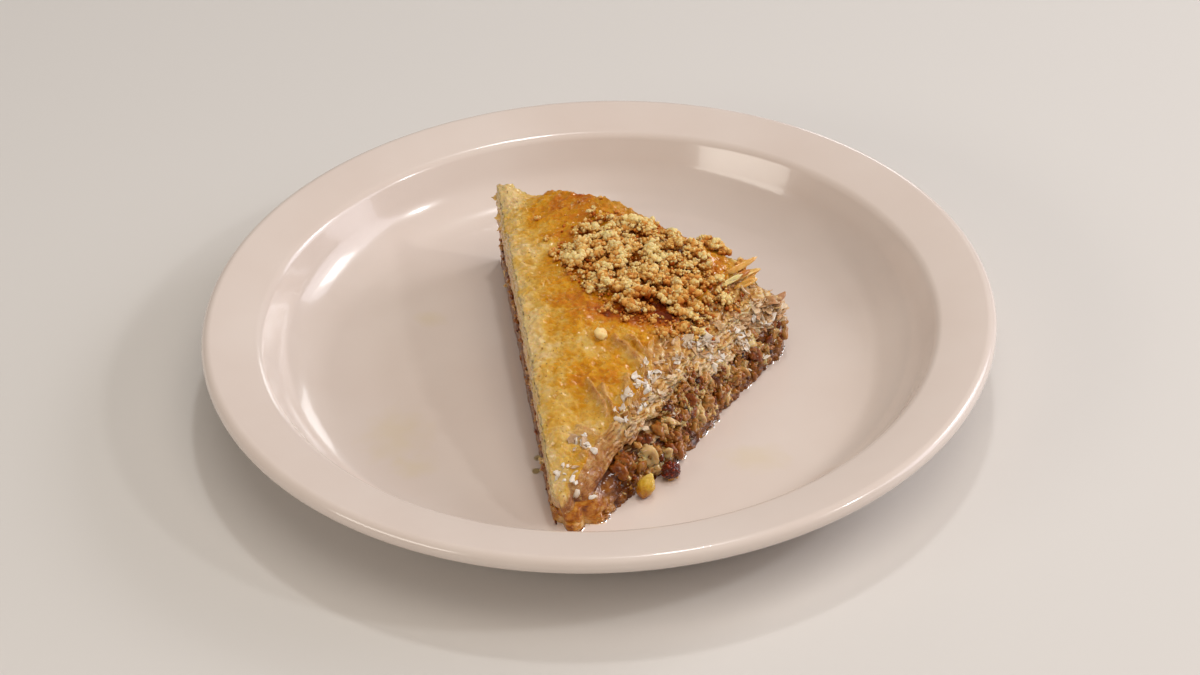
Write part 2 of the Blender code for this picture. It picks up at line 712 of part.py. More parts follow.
def main():
    clear_scene()
    rng = random.Random(7)
    collection = new_collection("baklava on its plate")
    make_plate(collection)
    shade(make_base(collection), 40)
    shade(make_filling(collection, rng), 40)
    crust = make_crust(collection, rng)
    shade(crust, 50)
    shade(make_heap(collection, surface_of(crust), rng), 35)
    amber = finish_of("walnut in syrup", (0.50, 0.24, 0.05), 0.2)
    dark = finish_of("dark walnut in syrup", (0.10, 0.02, 0.008), 0.15)
    make_loose_nut("loose_walnut", amber, LOOSE_WALNUT, rng, collection)
    make_loose_nut("dark_nut", dark, DARK_NUT, rng, collection)


main()
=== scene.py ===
"""Looks of a triangular piece of baklava on its dessert plate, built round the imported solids.

Units are metres and +Z is up. The piece lies with its thin tip towards -Y, its closed cut face towards -X and
its crumbled cut face towards +X. The sections follow the object as it is put together.
"""

import math
import random

import bmesh
import bpy
from mathutils import Euler, Matrix, Vector, geometry, kdtree, noise
from mathutils.bvhtree import BVHTree


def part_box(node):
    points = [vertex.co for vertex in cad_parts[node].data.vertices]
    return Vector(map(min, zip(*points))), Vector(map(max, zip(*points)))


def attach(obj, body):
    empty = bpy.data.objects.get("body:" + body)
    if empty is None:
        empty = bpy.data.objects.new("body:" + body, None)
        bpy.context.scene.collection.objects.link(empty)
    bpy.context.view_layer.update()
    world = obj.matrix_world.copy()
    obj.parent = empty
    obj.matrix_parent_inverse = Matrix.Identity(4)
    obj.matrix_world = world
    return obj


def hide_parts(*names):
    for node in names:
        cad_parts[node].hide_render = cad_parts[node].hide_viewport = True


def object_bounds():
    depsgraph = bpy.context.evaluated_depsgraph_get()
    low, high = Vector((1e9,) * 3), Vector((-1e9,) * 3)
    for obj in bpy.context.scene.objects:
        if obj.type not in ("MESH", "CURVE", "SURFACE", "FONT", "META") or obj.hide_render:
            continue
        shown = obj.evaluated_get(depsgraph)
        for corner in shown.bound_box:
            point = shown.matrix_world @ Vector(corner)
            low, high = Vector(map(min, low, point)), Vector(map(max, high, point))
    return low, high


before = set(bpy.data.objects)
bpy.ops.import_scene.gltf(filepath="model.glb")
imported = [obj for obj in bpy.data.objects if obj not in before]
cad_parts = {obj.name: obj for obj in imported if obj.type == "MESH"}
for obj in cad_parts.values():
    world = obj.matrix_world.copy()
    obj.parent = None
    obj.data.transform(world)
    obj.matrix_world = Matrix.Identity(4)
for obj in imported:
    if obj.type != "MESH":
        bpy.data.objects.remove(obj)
solid_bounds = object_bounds()

# Plate
# A narrow-rimmed dessert plate of stoneware, pressed in a turning mould, dipped in ivory glaze and fired.
# The food stands on its flat floor, and thin syrup has been smeared over the glaze beside it.

MM = 0.001
PLATE_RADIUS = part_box("plate")[1].x
RIM_TOP = 21 * MM
RIM_ROLL = 2 * MM
RIM_SLOPE = math.radians(11.6)
WELL_RADIUS = 63 * MM
WELL_FLOOR = 5.5 * MM
WELL_CURVE = 14 * MM
WALL_SLOPE = math.radians(62)
WALL_STRAIGHT = 5 * MM
RIM_BREAK = 3 * MM
PLATE_THICKNESS = 3.5 * MM
FOOT_OUTER = 57 * MM
FOOT_INNER = 53 * MM
FOOT_DRAFT = 0.7 * MM
PLATE_STEPS = 256
SMEARS = ((-47, -26, 9, 12), (-43, -38, 6, 5), (34, -40, 9, 6), (-40, 19, 5, 4))  # X, Y, half width, half depth


def linear(hex_colour):
    """An sRGB colour, written as six hex digits, as linear light with alpha."""
    parts = [int(hex_colour[i : i + 2], 16) / 255 for i in (0, 2, 4)]
    return (*[c / 12.92 if c <= 0.04045 else ((c + 0.055) / 1.055) ** 2.4 for c in parts], 1)


def connect(tree, node, inputs):
    """Gives each named socket its value: a number, a colour, a socket, or the first output of a node."""
    for name, value in inputs.items():
        if isinstance(value, bpy.types.Node):
            value = value.outputs[0]
        if isinstance(value, bpy.types.NodeSocket):
            tree.links.new(value, node.inputs[name])
        else:
            node.inputs[name].default_value = value


def add_node(tree, kind, inputs, stops=(), **settings):
    """Adds a shader node with its settings and links. stops are a colour ramp's places and hex colours."""
    node = tree.nodes.new("ShaderNode" + kind)
    for name, value in settings.items():
        setattr(node, name, value)
    for number, (place, colour) in enumerate(stops):
        elements = node.color_ramp.elements
        stop = elements[number] if number < 2 else elements.new(place)
        stop.position = place
        stop.color = linear(colour)
    connect(tree, node, inputs)
    return node


def new_finish(name):
    material = bpy.data.materials.new(name)
    material.use_nodes = True
    tree = material.node_tree
    return material, tree, tree.nodes["Principled BSDF"]


def add_piece(name, verts, faces, material, **values):
    """A smooth mesh object, with one float attribute on its points for each of values."""
    mesh = bpy.data.meshes.new(name)
    mesh.from_pydata(verts, [], faces)
    for label, numbers in values.items():
        mesh.attributes.new(label, "FLOAT", "POINT").data.foreach_set("value", numbers)
    mesh.materials.append(material)
    mesh.shade_smooth()
    piece = bpy.data.objects.new(name, mesh)
    bpy.context.scene.collection.objects.link(piece)
    return piece


def arc(centre, radius, start, end, steps):
    """Points on an arc in the (radius, height) plane. Angles run from straight down, towards +X."""
    angles = (start + (end - start) * i / steps for i in range(steps + 1))
    return [(centre[0] + radius * math.sin(a), centre[1] - radius * math.cos(a)) for a in angles]


def plate_profile():
    """The plate's section, from the axis along its upper side, round the rim and back under to the axis."""
    curve_centre = (WELL_RADIUS, WELL_FLOOR + WELL_CURVE)
    points = [(0, WELL_FLOOR), (WELL_RADIUS * 0.5, WELL_FLOOR)]
    points += arc(curve_centre, WELL_CURVE, 0, WALL_SLOPE, 14)
    wall_top = (
        points[-1][0] + WALL_STRAIGHT * math.cos(WALL_SLOPE),
        points[-1][1] + WALL_STRAIGHT * math.sin(WALL_SLOPE),
    )
    break_centre = (
        wall_top[0] + RIM_BREAK * math.sin(WALL_SLOPE),
        wall_top[1] - RIM_BREAK * math.cos(WALL_SLOPE),
    )
    points += arc(break_centre, RIM_BREAK, math.pi + WALL_SLOPE, math.pi + RIM_SLOPE, 8)
    roll_centre = (PLATE_RADIUS - RIM_ROLL, RIM_TOP - RIM_ROLL)
    points += arc(roll_centre, RIM_ROLL, math.pi + RIM_SLOPE, RIM_SLOPE, 14)
    outer_curve = arc(curve_centre, WELL_CURVE + PLATE_THICKNESS, WALL_SLOPE, 0, 12)
    rim_line = math.tan(RIM_SLOPE)
    wall_line = math.tan(WALL_SLOPE)
    under_rim = points[-1]
    wall_foot = outer_curve[0]
    height_apart = under_rim[1] - wall_foot[1] + wall_line * wall_foot[0] - rim_line * under_rim[0]
    corner_radius = height_apart / (wall_line - rim_line)
    points.append((corner_radius, wall_foot[1] + wall_line * (corner_radius - wall_foot[0])))
    points += outer_curve
    underside = WELL_FLOOR - PLATE_THICKNESS
    points += [(FOOT_OUTER + FOOT_DRAFT, underside), (FOOT_OUTER, 0), (FOOT_INNER, 0)]
    points += [(FOOT_INNER - FOOT_DRAFT, underside), (0, underside)]
    return points


def glazed_stoneware():
    """Ivory glaze over pale stoneware: a clear glassy skin with a slow ripple, so that windows show in it with
    soft, slightly wavy edges. The colour drifts a little where the glaze is thicker."""
    material, tree, shader = new_finish("ivory glazed stoneware")
    place = add_node(tree, "TexCoord", {}).outputs["Object"]
    drift = add_node(tree, "TexNoise", {"Vector": place, "Scale": 1 / (30 * MM), "Detail": 3})
    colour = add_node(tree, "ValToRGB", {0: drift}, stops=((0.3, "DCCDC3"), (0.7, "E1D4CB"))).outputs[0]
    streak = add_node(tree, "TexNoise", {"Vector": place, "Scale": 1 / (5 * MM), "Detail": 4})
    for x, y, half_width, half_depth in SMEARS:
        aside = add_node(tree, "VectorMath", {0: place, 1: (x * MM, y * MM, WELL_FLOOR)}, operation="SUBTRACT")
        size = (1 / (half_width * MM), 1 / (half_depth * MM), 0)
        squeezed = add_node(tree, "VectorMath", {0: aside, 1: size}, operation="MULTIPLY")
        away = add_node(tree, "VectorMath", {0: squeezed}, operation="LENGTH").outputs["Value"]
        ragged = add_node(tree, "Math", {0: streak, 1: 1.4, 2: away}, operation="MULTIPLY_ADD")
        shown = add_node(tree, "MapRange", {0: ragged, 1: 1.7, 2: 0.9, 3: 0.0, 4: 0.25})
        colour = add_node(tree, "Mix", {0: shown, 6: colour, 7: linear("D8C692")}, data_type="RGBA").outputs[2]
    ripple = add_node(tree, "TexNoise", {"Vector": place, "Scale": 1 / (16 * MM), "Detail": 2})
    bump = add_node(tree, "Bump", {"Height": ripple, "Strength": 0.5, "Distance": 0.25 * MM})
    sockets = {"Base Color": colour, "Roughness": 0.2, "IOR": 1.5, "Coat Weight": 0.5, "Coat Roughness": 0.06}
    connect(tree, shader, {**sockets, "Normal": bump, "Coat Normal": bump})
    return material


section = [(radius, 0, height) for radius, height in plate_profile()]
plate = add_piece("stoneware_plate", section, [], glazed_stoneware())
bm = bmesh.new()
section_verts = [bm.verts.new(point) for point in section]
for first, second in zip(section_verts, section_verts[1:]):
    bm.edges.new((first, second))
bm.to_mesh(plate.data)
bm.free()
turn = plate.modifiers.new("turn", "SCREW")
turn.steps = PLATE_STEPS
turn.render_steps = PLATE_STEPS
turn.use_merge_vertices = True
turn.merge_threshold = 0.01 * MM
turn.use_smooth_shade = True
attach(plate, "root")
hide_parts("plate")

# Bottom pastry
# Leaves of thin dough laid in the pan, buttered one by one, baked under the filling and then soaked through
# with syrup. At the cut they show as wet brown edges, a little uneven, and the tip of the piece is all syrup.

TIP_LEFT = Vector((-11.2, -62.2)) * MM
TIP_RIGHT = Vector((-3.0, -62.5)) * MM
BACK_LEFT = Vector((-23.4, 43.0)) * MM
BACK_RIGHT = Vector((45.5, 3.0)) * MM
CORNER_WEAR = 1.6 * MM
CORNER_START = 0.85
FACE_BOW = 1.9 * MM
BOW_PLACE = 0.40
BOW_WIDTH = 0.17
LENGTH = BACK_LEFT.y - TIP_LEFT.y
TIP_TOP = 11.5 * MM
RIDGE_RISE = 18 * MM
RIDGE_POWER = 3.4
RIDGE_START_X = -7 * MM
RIDGE_LEAN = 9.6 / 104
FALL_RIGHT = 4.8
FALL_LEFT = 4.5
BASE_SHARE = 0.24
FILLING_SHARE = 0.62
LEAN_BASE = 0.6 * MM
LEAN_FILLING = 1.8 * MM
LEAN_CRUST = 4.8 * MM
LEAN_AT_TIP = 0.45
LEAN_AT_CORNER = 0.1
TIP_LENGTH = 0.12
CRUST_TIP_INSET = 1.9 * MM
EDGE_WIDTH = 16 * MM
EDGE_DROP = 5 * MM
EDGE_FROM_CORNER = 28 * MM
GAP = 0.3 * MM
FLUSH = (0, 0, 0, 0, 0)
CORNER_ROOM = 2.5 * MM  # the leaves' raggedness fades out within this of a corner
TIP_ROUND = 2.4 * MM  # how far the two corners of the blunt tip are pulled in
TIP_ROUND_SHARE = 0.05
BANDS_END = 0.20  # syrup has drawn the crumbled face into smooth bands up to this share of its length
BANDS_FADE = 0.16
BASE_LEAVES = 4
BASE_STEP = 0.4 * MM
SYRUP_FILM = 1.4  # refraction of the thin, watery film of syrup on all that is wet
AMBER_TIP = 10 * MM  # how far from the tip the set syrup shows


def outward(start, end):
    """Unit vector away from the piece, square to an edge walked with the piece on its left."""
    along = (end - start).normalized()
    return Vector((along.y, -along.x))


RIGHT_OUT = outward(TIP_RIGHT, BACK_RIGHT)
BACK_OUT = outward(BACK_RIGHT, BACK_LEFT)
LEFT_OUT = outward(BACK_LEFT, TIP_LEFT)
TIP_OUT = outward(TIP_LEFT, TIP_RIGHT)


def plan_point(across, along, sides):
    """A place in plan. across runs from the left face to the right one and along from the tip to the back
    edge, both 0 to 1. sides says how far each face stands out: left, right, back, tip, and the tip's inset."""
    left, right, back, tip, tip_inset = sides
    at_tip = max(0.0, 1 - along / TIP_LENGTH)
    at_corner = max(0.0, (along - CORNER_START) / (1 - CORNER_START))
    right *= (1 - (1 - LEAN_AT_TIP) * at_tip) * (1 - (1 - LEAN_AT_CORNER) * at_corner)
    right += FACE_BOW * math.exp(-(((along - BOW_PLACE) / BOW_WIDTH) ** 2)) - tip_inset * at_tip
    left_point = TIP_LEFT.lerp(BACK_LEFT, along) + LEFT_OUT * left
    right_point = TIP_RIGHT.lerp(BACK_RIGHT, along) + RIGHT_OUT * right
    right_point -= (RIGHT_OUT + BACK_OUT) * CORNER_WEAR * at_corner**2
    return left_point.lerp(right_point, across) + BACK_OUT * back * along + TIP_OUT * tip * (1 - along)


def squared_falloff(distance, width):
    return max(0.0, min(1.0, 1 - distance / width)) ** 2


def gentle_top(point):
    """The crust's height without its small swellings. The layers below take a share of it."""
    along = max(0.0, min(1.0, (point.y - TIP_LEFT.y) / LENGTH))
    ridge = TIP_TOP + RIDGE_RISE * (1 - (1 - along) ** RIDGE_POWER)
    ridge_x = RIDGE_START_X + RIDGE_LEAN * (point.y - TIP_LEFT.y)
    aside = point.x - ridge_x
    fall = (FALL_RIGHT if aside > 0 else FALL_LEFT) * aside * aside
    inside = (TIP_RIGHT - point).dot(RIGHT_OUT) - LEAN_BASE - LEAN_FILLING - LEAN_CRUST
    from_corner = min(1.0, (point - BACK_RIGHT).length / EDGE_FROM_CORNER)
    return ridge - fall - EDGE_DROP * along * from_corner * squared_falloff(inside, EDGE_WIDTH)


def base_top(point):
    return WELL_FLOOR + BASE_SHARE * (gentle_top(point) - WELL_FLOOR)


def base_bottom(point):
    return WELL_FLOOR + 0.02 * MM


def grain(point, size, layer=0.0):
    """Smooth noise from -1 to 1 whose waves are about size long."""
    return noise.noise(Vector((point.x / size, point.y / size, layer)))


def stations(step):
    """Places round the piece's edge, step apart: across, along, side, way out, distance from the nearest
    corner. Side 0 is the crumbled face, then the back, the closed face and the tip."""
    corners = ((1, 0), (1, 1), (0, 1), (0, 0))
    found = []
    for side, way in enumerate((RIGHT_OUT, BACK_OUT, LEFT_OUT, TIP_OUT)):
        start, end = Vector(corners[side]), Vector(corners[(side + 1) % 4])
        length = (plan_point(*start, FLUSH) - plan_point(*end, FLUSH)).length
        count = round(length / step)
        for i in range(count):
            place = start.lerp(end, i / count)
            found.append((place.x, place.y, side, way, min(i, count - i) / count * length))
    return found


def round_tip(point, across, along, width):
    """Rounds the blunt end, whose two corners are worn off. width is how wide the layer is there."""
    room = min(TIP_ROUND, 0.3 * width)
    near = squared_falloff(along, TIP_ROUND_SHARE)
    aside = 2 * across - 1
    return point + Vector((-0.7 * aside * room, aside**4 * room)) * near


def crowns(point, size):
    """Rounded lumps about size across: 1 on a crown and below 0 in the cracks between them."""
    return 1 - 2.2 * noise.voronoi(point / size)[0][0] ** 2


def nutty(along):
    """0 in the smooth wet bands near the tip, 1 where the face is crumbled and pieces of nut show."""
    return max(0.0, min(1.0, (along - BANDS_END) / BANDS_FADE + 0.5))


def wall_ring(places, share, leaf, stand, ragged, sides_at, bottom, top, relief=None):
    """One row of points round the cut faces. leaf numbers the leaf that the row belongs to, stand says how far
    it stands out, ragged how uneven it is on each side, and relief adds the lumps of its own."""
    ring = []
    sides = sides_at(share)
    width = (plan_point(0, 0, sides) - plan_point(1, 0, sides)).length
    for across, along, side, way, from_corner in places:
        point = round_tip(plan_point(across, along, sides), across, along, width)
        tear = 0.7 * grain(point, 5 * MM, leaf * 3.7) + 0.5 * grain(point, 1.7 * MM, leaf * 5.1)
        room = min(1.0, from_corner / CORNER_ROOM) * min(1.0, 0.1 * width / MM + (along / 0.2) ** 2)
        calm = 0.12 + 0.88 * nutty(along) if side in (0, 3) else 1.0
        point += way * (stand + ragged[side] * tear) * room * calm
        low = bottom(point)
        wave = 0.3 * MM * grain(point, 6 * MM, leaf * 0.9) * 4 * share * (1 - share)
        place = Vector((*point, low + (top(point) - low) * share + wave))
        if relief:
            place += way.to_3d() * relief(place, side, along, share) * room
        ring.append(place)
    return ring


def fill_ring(ring, spacing):
    """Closes a ring of points: inner points on a staggered grid, and triangles over ring and inner points."""
    edge = kdtree.KDTree(len(ring))
    for number, point in enumerate(ring):
        edge.insert((point.x, point.y, 0), number)
    edge.balance()
    low = Vector((min(p.x for p in ring), min(p.y for p in ring)))
    high = Vector((max(p.x for p in ring), max(p.y for p in ring)))
    inner = []
    for row in range(int((high.y - low.y) / (spacing * 0.866))):
        for column in range(int((high.x - low.x) / spacing)):
            point = low + Vector(((column + 0.5 * (row % 2)) * spacing, row * spacing * 0.866))
            beside = max((point - TIP_RIGHT).dot(RIGHT_OUT), (point - BACK_LEFT).dot(LEFT_OUT))
            beside = max(beside, (point - BACK_LEFT).dot(BACK_OUT))
            if beside < 3 * MM and edge.find((point.x, point.y, 0))[2] > 0.7 * spacing:
                inner.append(point)
    outline = [(i, (i + 1) % len(ring)) for i in range(len(ring))]
    flat = [point.xy / MM for point in ring] + [point / MM for point in inner]
    found = geometry.delaunay_2d_cdt(flat, outline, [], 1, 0.0001)
    triangles = [[found[3][vert][0] for vert in triangle] for triangle in found[2]]
    used = sorted({vert for triangle in triangles for vert in triangle if vert >= len(ring)})
    place_of = {vert: len(ring) + number for number, vert in enumerate(used)}
    triangles = [[place_of.get(vert, vert) for vert in triangle] for triangle in triangles]
    return [inner[vert - len(ring)] for vert in used], triangles


def closed_block(rings, low_cap, high_cap, low_height, high_height):
    """Points and faces of a closed block: walls through the rings, and a filled cap at each end."""
    count = len(rings[0])
    verts = [point for ring in rings for point in ring]
    faces = []
    for row in range(len(rings) - 1):
        for i in range(count):
            a, b = row * count + i, row * count + (i + 1) % count
            faces.append((a, b, b + count, a + count))
    for (inner, triangles), first, height, flip in (
        (low_cap, 0, low_height, -1),
        (high_cap, (len(rings) - 1) * count, high_height, 1),
    ):
        start = len(verts)
        verts += [Vector((*point, height(point))) for point in inner]
        for triangle in triangles:
            corners = [first + v if v < count else start + v - count for v in triangle]
            faces.append(corners[::flip])
    return verts, faces


def leaf_rows(count, out, back):
    """Rows that draw count leaves in a cut face: each leaf's edge stands out, with a groove above it."""
    rows = [(0.0, 0, back)]
    for leaf in range(count):
        for place, stand in ((0.1, out), (0.55, out), (0.85, back)):
            rows.append(((leaf + place) / count, leaf, stand))
    return rows + [(1.0, count - 1, 0.5 * (out + back))]


def lean(share, start, amount, tip_inset=0):
    """Sides of a layer whose crumbled face leans back from start, by amount over the layer's height."""
    return (0, -start - amount * share, 0, -0.15 * start, tip_inset)


def base_sides(share):
    return lean(share, 0, LEAN_BASE)


def base_relief(place, side, along, share):
    """The soaked leaves have slumped into soft folds at the crumbled face."""
    if side in (1, 2):
        return 0.15 * MM * crowns(place, 1.6 * MM)
    if side == 3:
        return (0.4 * crowns(place, 2.6 * MM) + 0.5 * crowns(place, 1.1 * MM) - 0.5 * share) * MM
    return (0.6 * crowns(place, 2.6 * MM) + 0.5 * crowns(place, 1.2 * MM) - 0.1 - 0.5 * share) * MM


def soaked_pastry():
    """Pastry soaked with syrup: amber-brown and half clear, darker where syrup has gathered, under a wet film.
    The leaf edges are paler, and the tip, where the syrup has set, is a clear orange amber."""
    material, tree, shader = new_finish("syrup-soaked pastry leaves")
    place = add_node(tree, "TexCoord", {}).outputs["Object"]
    drift = add_node(tree, "TexNoise", {"Vector": place, "Scale": 1 / (2.2 * MM), "Detail": 5})
    edge = add_node(tree, "Attribute", {}, attribute_name="edge").outputs["Fac"]
    mixed = add_node(tree, "Math", {0: edge, 1: 0.1, 2: drift}, operation="MULTIPLY_ADD")
    stops = ((0.3, "341400"), (0.48, "622E02"), (0.62, "864E10"), (0.9, "AA7426"))
    brown = add_node(tree, "ValToRGB", {0: mixed}, stops=stops).outputs[0]
    stops = ((0.3, "6E3002"), (0.45, "A8600E"), (0.6, "C48630"), (0.8, "E0BC84"))
    orange = add_node(tree, "ValToRGB", {0: mixed}, stops=stops).outputs[0]
    amber = add_node(tree, "Attribute", {}, attribute_name="amber").outputs["Fac"]
    colour = add_node(tree, "Mix", {0: amber, 6: brown, 7: orange}, data_type="RGBA").outputs[2]
    fine = add_node(tree, "TexNoise", {"Vector": place, "Scale": 1 / (0.7 * MM), "Detail": 3})
    bump = add_node(tree, "Bump", {"Height": fine, "Strength": 0.8, "Distance": 0.3 * MM})
    sockets = {"Base Color": colour, "Roughness": 0.35, "Coat Weight": 0.8, "Coat Roughness": 0.05}
    sockets |= {"Subsurface Weight": 0.25, "Subsurface Radius": (1, 0.4, 0.12), "Subsurface Scale": 1.2 * MM}
    sockets |= {"IOR": 1.45, "Specular IOR Level": 0.2, "Coat IOR": SYRUP_FILM}
    connect(tree, shader, {**sockets, "Normal": bump, "Coat Normal": bump})
    return material


places = stations(BASE_STEP)
ragged = (0.55 * MM, 0.35 * MM, 0.3 * MM, 0.3 * MM)
rings = []
edges = []
for share, leaf, stand in leaf_rows(BASE_LEAVES, 0.12 * MM, -0.08 * MM):
    layer = (base_sides, base_bottom, base_top, base_relief)
    rings.append(wall_ring(places, share, leaf, stand, ragged, *layer))
    edges += [1.0 if stand > 0 else 0.0] * len(places)
low_cap = fill_ring(rings[0], 3 * MM)
high_cap = fill_ring(rings[-1], 2.5 * MM)
verts, faces = closed_block(rings, low_cap, high_cap, base_bottom, base_top)
edges += [0.0] * (len(verts) - len(edges))
foot_ring = rings[0]
ambers = []
for vert in verts:
    from_tip = (vert.y - TIP_LEFT.y + 1.2 * max(0, vert.x - TIP_RIGHT.x)) / AMBER_TIP
    ambers.append(max(0.0, min(1.0, 1.4 - from_tip)))
bottom_leaves = add_piece("soaked_bottom_leaves", verts, faces, soaked_pastry(), edge=edges, amber=ambers)
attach(bottom_leaves, "root")
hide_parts("base_pastry")

# Filling
# Walnuts chopped with sugar and spice, spread between the leaves and set by the syrup into a wet brown paste.
# The crumbled face shows it as a bed of paste with pieces of nut from one to five millimetres standing out.
# Near the tip it has soaked into smooth glossy bands with a dark crevice under the crust.

FILLING_STEP = 0.4 * MM
FILLING_ROWS = 24
NUTS_RIGHT = 600
NUTS_LEFT = 260
NUTS_BACK = 190
NUTS_SPILLED = 130
# The largest pieces on the crumbled face: place along it, share of its height, radius in millimetres, tone
LARGE_NUTS = (
    (0.27, 0.46, 3.0, 0.50),
    (0.37, 0.42, 2.3, 0.58),
    (0.46, 0.38, 2.9, 0.42),
    (0.50, 0.50, 2.4, 0.62),
    (0.57, 0.40, 2.4, 0.50),
    (0.63, 0.22, 2.8, 0.30),
    (0.69, 0.28, 2.6, 0.25),
    (0.39, 0.82, 1.9, 0.60),
    (0.47, 0.68, 2.2, 0.66),
    (0.54, 0.62, 1.6, 0.70),
    (0.55, 0.82, 1.3, 0.48),
    (0.65, 0.66, 1.8, 0.55),
    (0.75, 0.36, 2.6, 0.52),
    (0.83, 0.38, 3.1, 0.40),
    (0.88, 0.26, 2.4, 0.25),
    (0.93, 0.46, 2.6, 0.62),
)
CREVICE = 2.6 * MM
AMBER_PASTE = 6 * MM  # how far from the tip the paste is orange with set syrup


def filling_top(point):
    return WELL_FLOOR + FILLING_SHARE * (gentle_top(point) - WELL_FLOOR)


def filling_bottom(point):
    return base_top(point) - 0.1 * MM


def filling_sides(share):
    return lean(share, LEAN_BASE, LEAN_FILLING)


def crevice_at(along, share):
    """1 in the middle of the crevice at the crust's foot, which runs along the front third of the face. share
    is of the whole height of the piece."""
    middle = math.exp(-(((along - 0.25) / 0.16) ** 4))
    height = 0.73 - 0.55 * max(0.0, 0.30 - along)
    return middle * math.exp(-(((share - height) / 0.06) ** 2))


def spilled(along, share):
    """1 where nuts have spilled over the crust's foot, in the middle of the crumbled face."""
    return math.exp(-(((along - 0.47) / 0.12) ** 4)) * max(0.0, min(1.0, (0.88 - share) / 0.08))


def filling_relief(place, side, along, share):
    """How far the paste stands out: lumps of nut under its skin, and soft folds near the tip."""
    lumps = 0.8 * crowns(place, 3.1 * MM) + 0.45 * crowns(place, 1.4 * MM)
    if side == 3:
        return (0.6 * lumps - 0.5 - 0.8 * share) * MM
    if side != 0:
        return (0.4 * lumps) * MM
    folds = 0.8 * grain(place, 4 * MM, place.z / (2 * MM)) + 0.3 * crowns(place, 2.2 * MM)
    amount = nutty(along)
    whole = BASE_SHARE + share * (FILLING_SHARE - BASE_SHARE)
    return ((lumps * amount) + folds * (1 - amount)) * MM - CREVICE * crevice_at(along, whole)


def walnut_paste():
    """Wet paste of ground nut: brown and half clear, each lump its own tone, under a film of syrup that glints."""
    material, tree, shader = new_finish("wet walnut paste")
    place = add_node(tree, "TexCoord", {}).outputs["Object"]
    tone = add_node(tree, "Attribute", {}, attribute_name="tone").outputs["Fac"]
    drift = add_node(tree, "TexNoise", {"Vector": place, "Scale": 1 / (1.6 * MM), "Detail": 5, "Roughness": 0.6})
    mixed = add_node(tree, "Math", {0: drift, 1: 0.9, 2: tone}, operation="MULTIPLY_ADD")
    stops = ((0.2, "321200"), (0.5, "622E06"), (0.75, "824C12"), (1.0, "A06C28"), (1.2, "B8883E"))
    scaled = add_node(tree, "Math", {0: mixed, 1: 1 / 1.2}, operation="MULTIPLY")
    stops = tuple((place_on / 1.2, colour) for place_on, colour in stops)
    brown = add_node(tree, "ValToRGB", {0: scaled}, stops=stops).outputs[0]
    stops = ((0.3, "6E3002"), (0.45, "A8600E"), (0.6, "C48630"), (0.8, "E0BC84"))
    orange = add_node(tree, "ValToRGB", {0: drift}, stops=stops).outputs[0]
    amber = add_node(tree, "Attribute", {}, attribute_name="amber").outputs["Fac"]
    colour = add_node(tree, "Mix", {0: amber, 6: brown, 7: orange}, data_type="RGBA").outputs[2]
    fine = add_node(tree, "TexNoise", {"Vector": place, "Scale": 1 / (1.2 * MM), "Detail": 2})
    bump = add_node(tree, "Bump", {"Height": fine, "Strength": 0.8, "Distance": 0.35 * MM})
    sockets = {"Base Color": colour, "Roughness": 0.4, "Coat Weight": 1.0, "Coat Roughness": 0.05}
    sockets |= {"Subsurface Weight": 0.25, "Subsurface Radius": (1, 0.45, 0.15), "Subsurface Scale": 1.2 * MM}
    sockets |= {"IOR": 1.45, "Specular IOR Level": 0.2, "Coat IOR": SYRUP_FILM}
    connect(tree, shader, {**sockets, "Normal": bump, "Coat Normal": bump})
    return material


def chopped_walnut(name, stops, coat, clear, mottle_size):
    """Walnut flesh, broken across the grain: cream to amber, each piece its own tone, with a mottle and a fine
    bump. coat is how wet it is, and clear how far light passes into it."""
    material, tree, shader = new_finish(name)
    place = add_node(tree, "TexCoord", {}).outputs["Object"]
    mottle = add_node(tree, "TexNoise", {"Vector": place, "Scale": 1 / mottle_size, "Detail": 3})
    tone = add_node(tree, "Attribute", {}, attribute_name="tone").outputs["Fac"]
    mixed = add_node(tree, "Math", {0: mottle, 1: 0.4, 2: tone}, operation="MULTIPLY_ADD")
    colour = add_node(tree, "ValToRGB", {0: mixed}, stops=stops)
    fine = add_node(tree, "TexNoise", {"Vector": place, "Scale": 1.1 / mottle_size, "Detail": 2})
    bump = add_node(tree, "Bump", {"Height": fine, "Strength": 0.6, "Distance": 0.2 * MM})
    sockets = {"Base Color": colour, "Roughness": 0.55, "Coat Weight": coat, "Coat Roughness": 0.04}
    sockets |= {"Subsurface Weight": clear, "Subsurface Radius": (1, 0.55, 0.2), "Subsurface Scale": 1.2 * MM}
    sockets |= {"IOR": 1.46, "Specular IOR Level": 0.2, "Coat IOR": SYRUP_FILM}
    connect(tree, shader, {**sockets, "Normal": bump, "Coat Normal": bump})
    return material


def ball(subdivisions):
    """Directions and faces of a sphere made of triangles."""
    bm = bmesh.new()
    bmesh.ops.create_icosphere(bm, subdivisions=subdivisions, radius=1)
    directions = [vert.co.copy() for vert in bm.verts]
    faces = [tuple(vert.index for vert in face.verts) for face in bm.faces]
    bm.free()
    return directions, faces


SMALL_BALL = ball(2)
LARGE_BALL = ball(3)
VERY_LARGE_BALL = ball(4)


class Heap:
    """Many small closed shapes gathered into one mesh, with named values for each point."""

    def __init__(self):
        self.verts = []
        self.faces = []
        self.values = {}

    def add(self, verts, faces, **values):
        start = len(self.verts)
        self.verts += verts
        self.faces += [tuple(start + vert for vert in face) for face in faces]
        for label, numbers in values.items():
            if not isinstance(numbers, list):
                numbers = [numbers] * len(verts)
            self.values.setdefault(label, []).extend(numbers)

    def piece(self, name, material):
        return add_piece(name, self.verts, self.faces, material, **self.values)


def random_way(rng):
    return Vector([rng.gauss(0, 1) for _ in range(3)]).normalized()


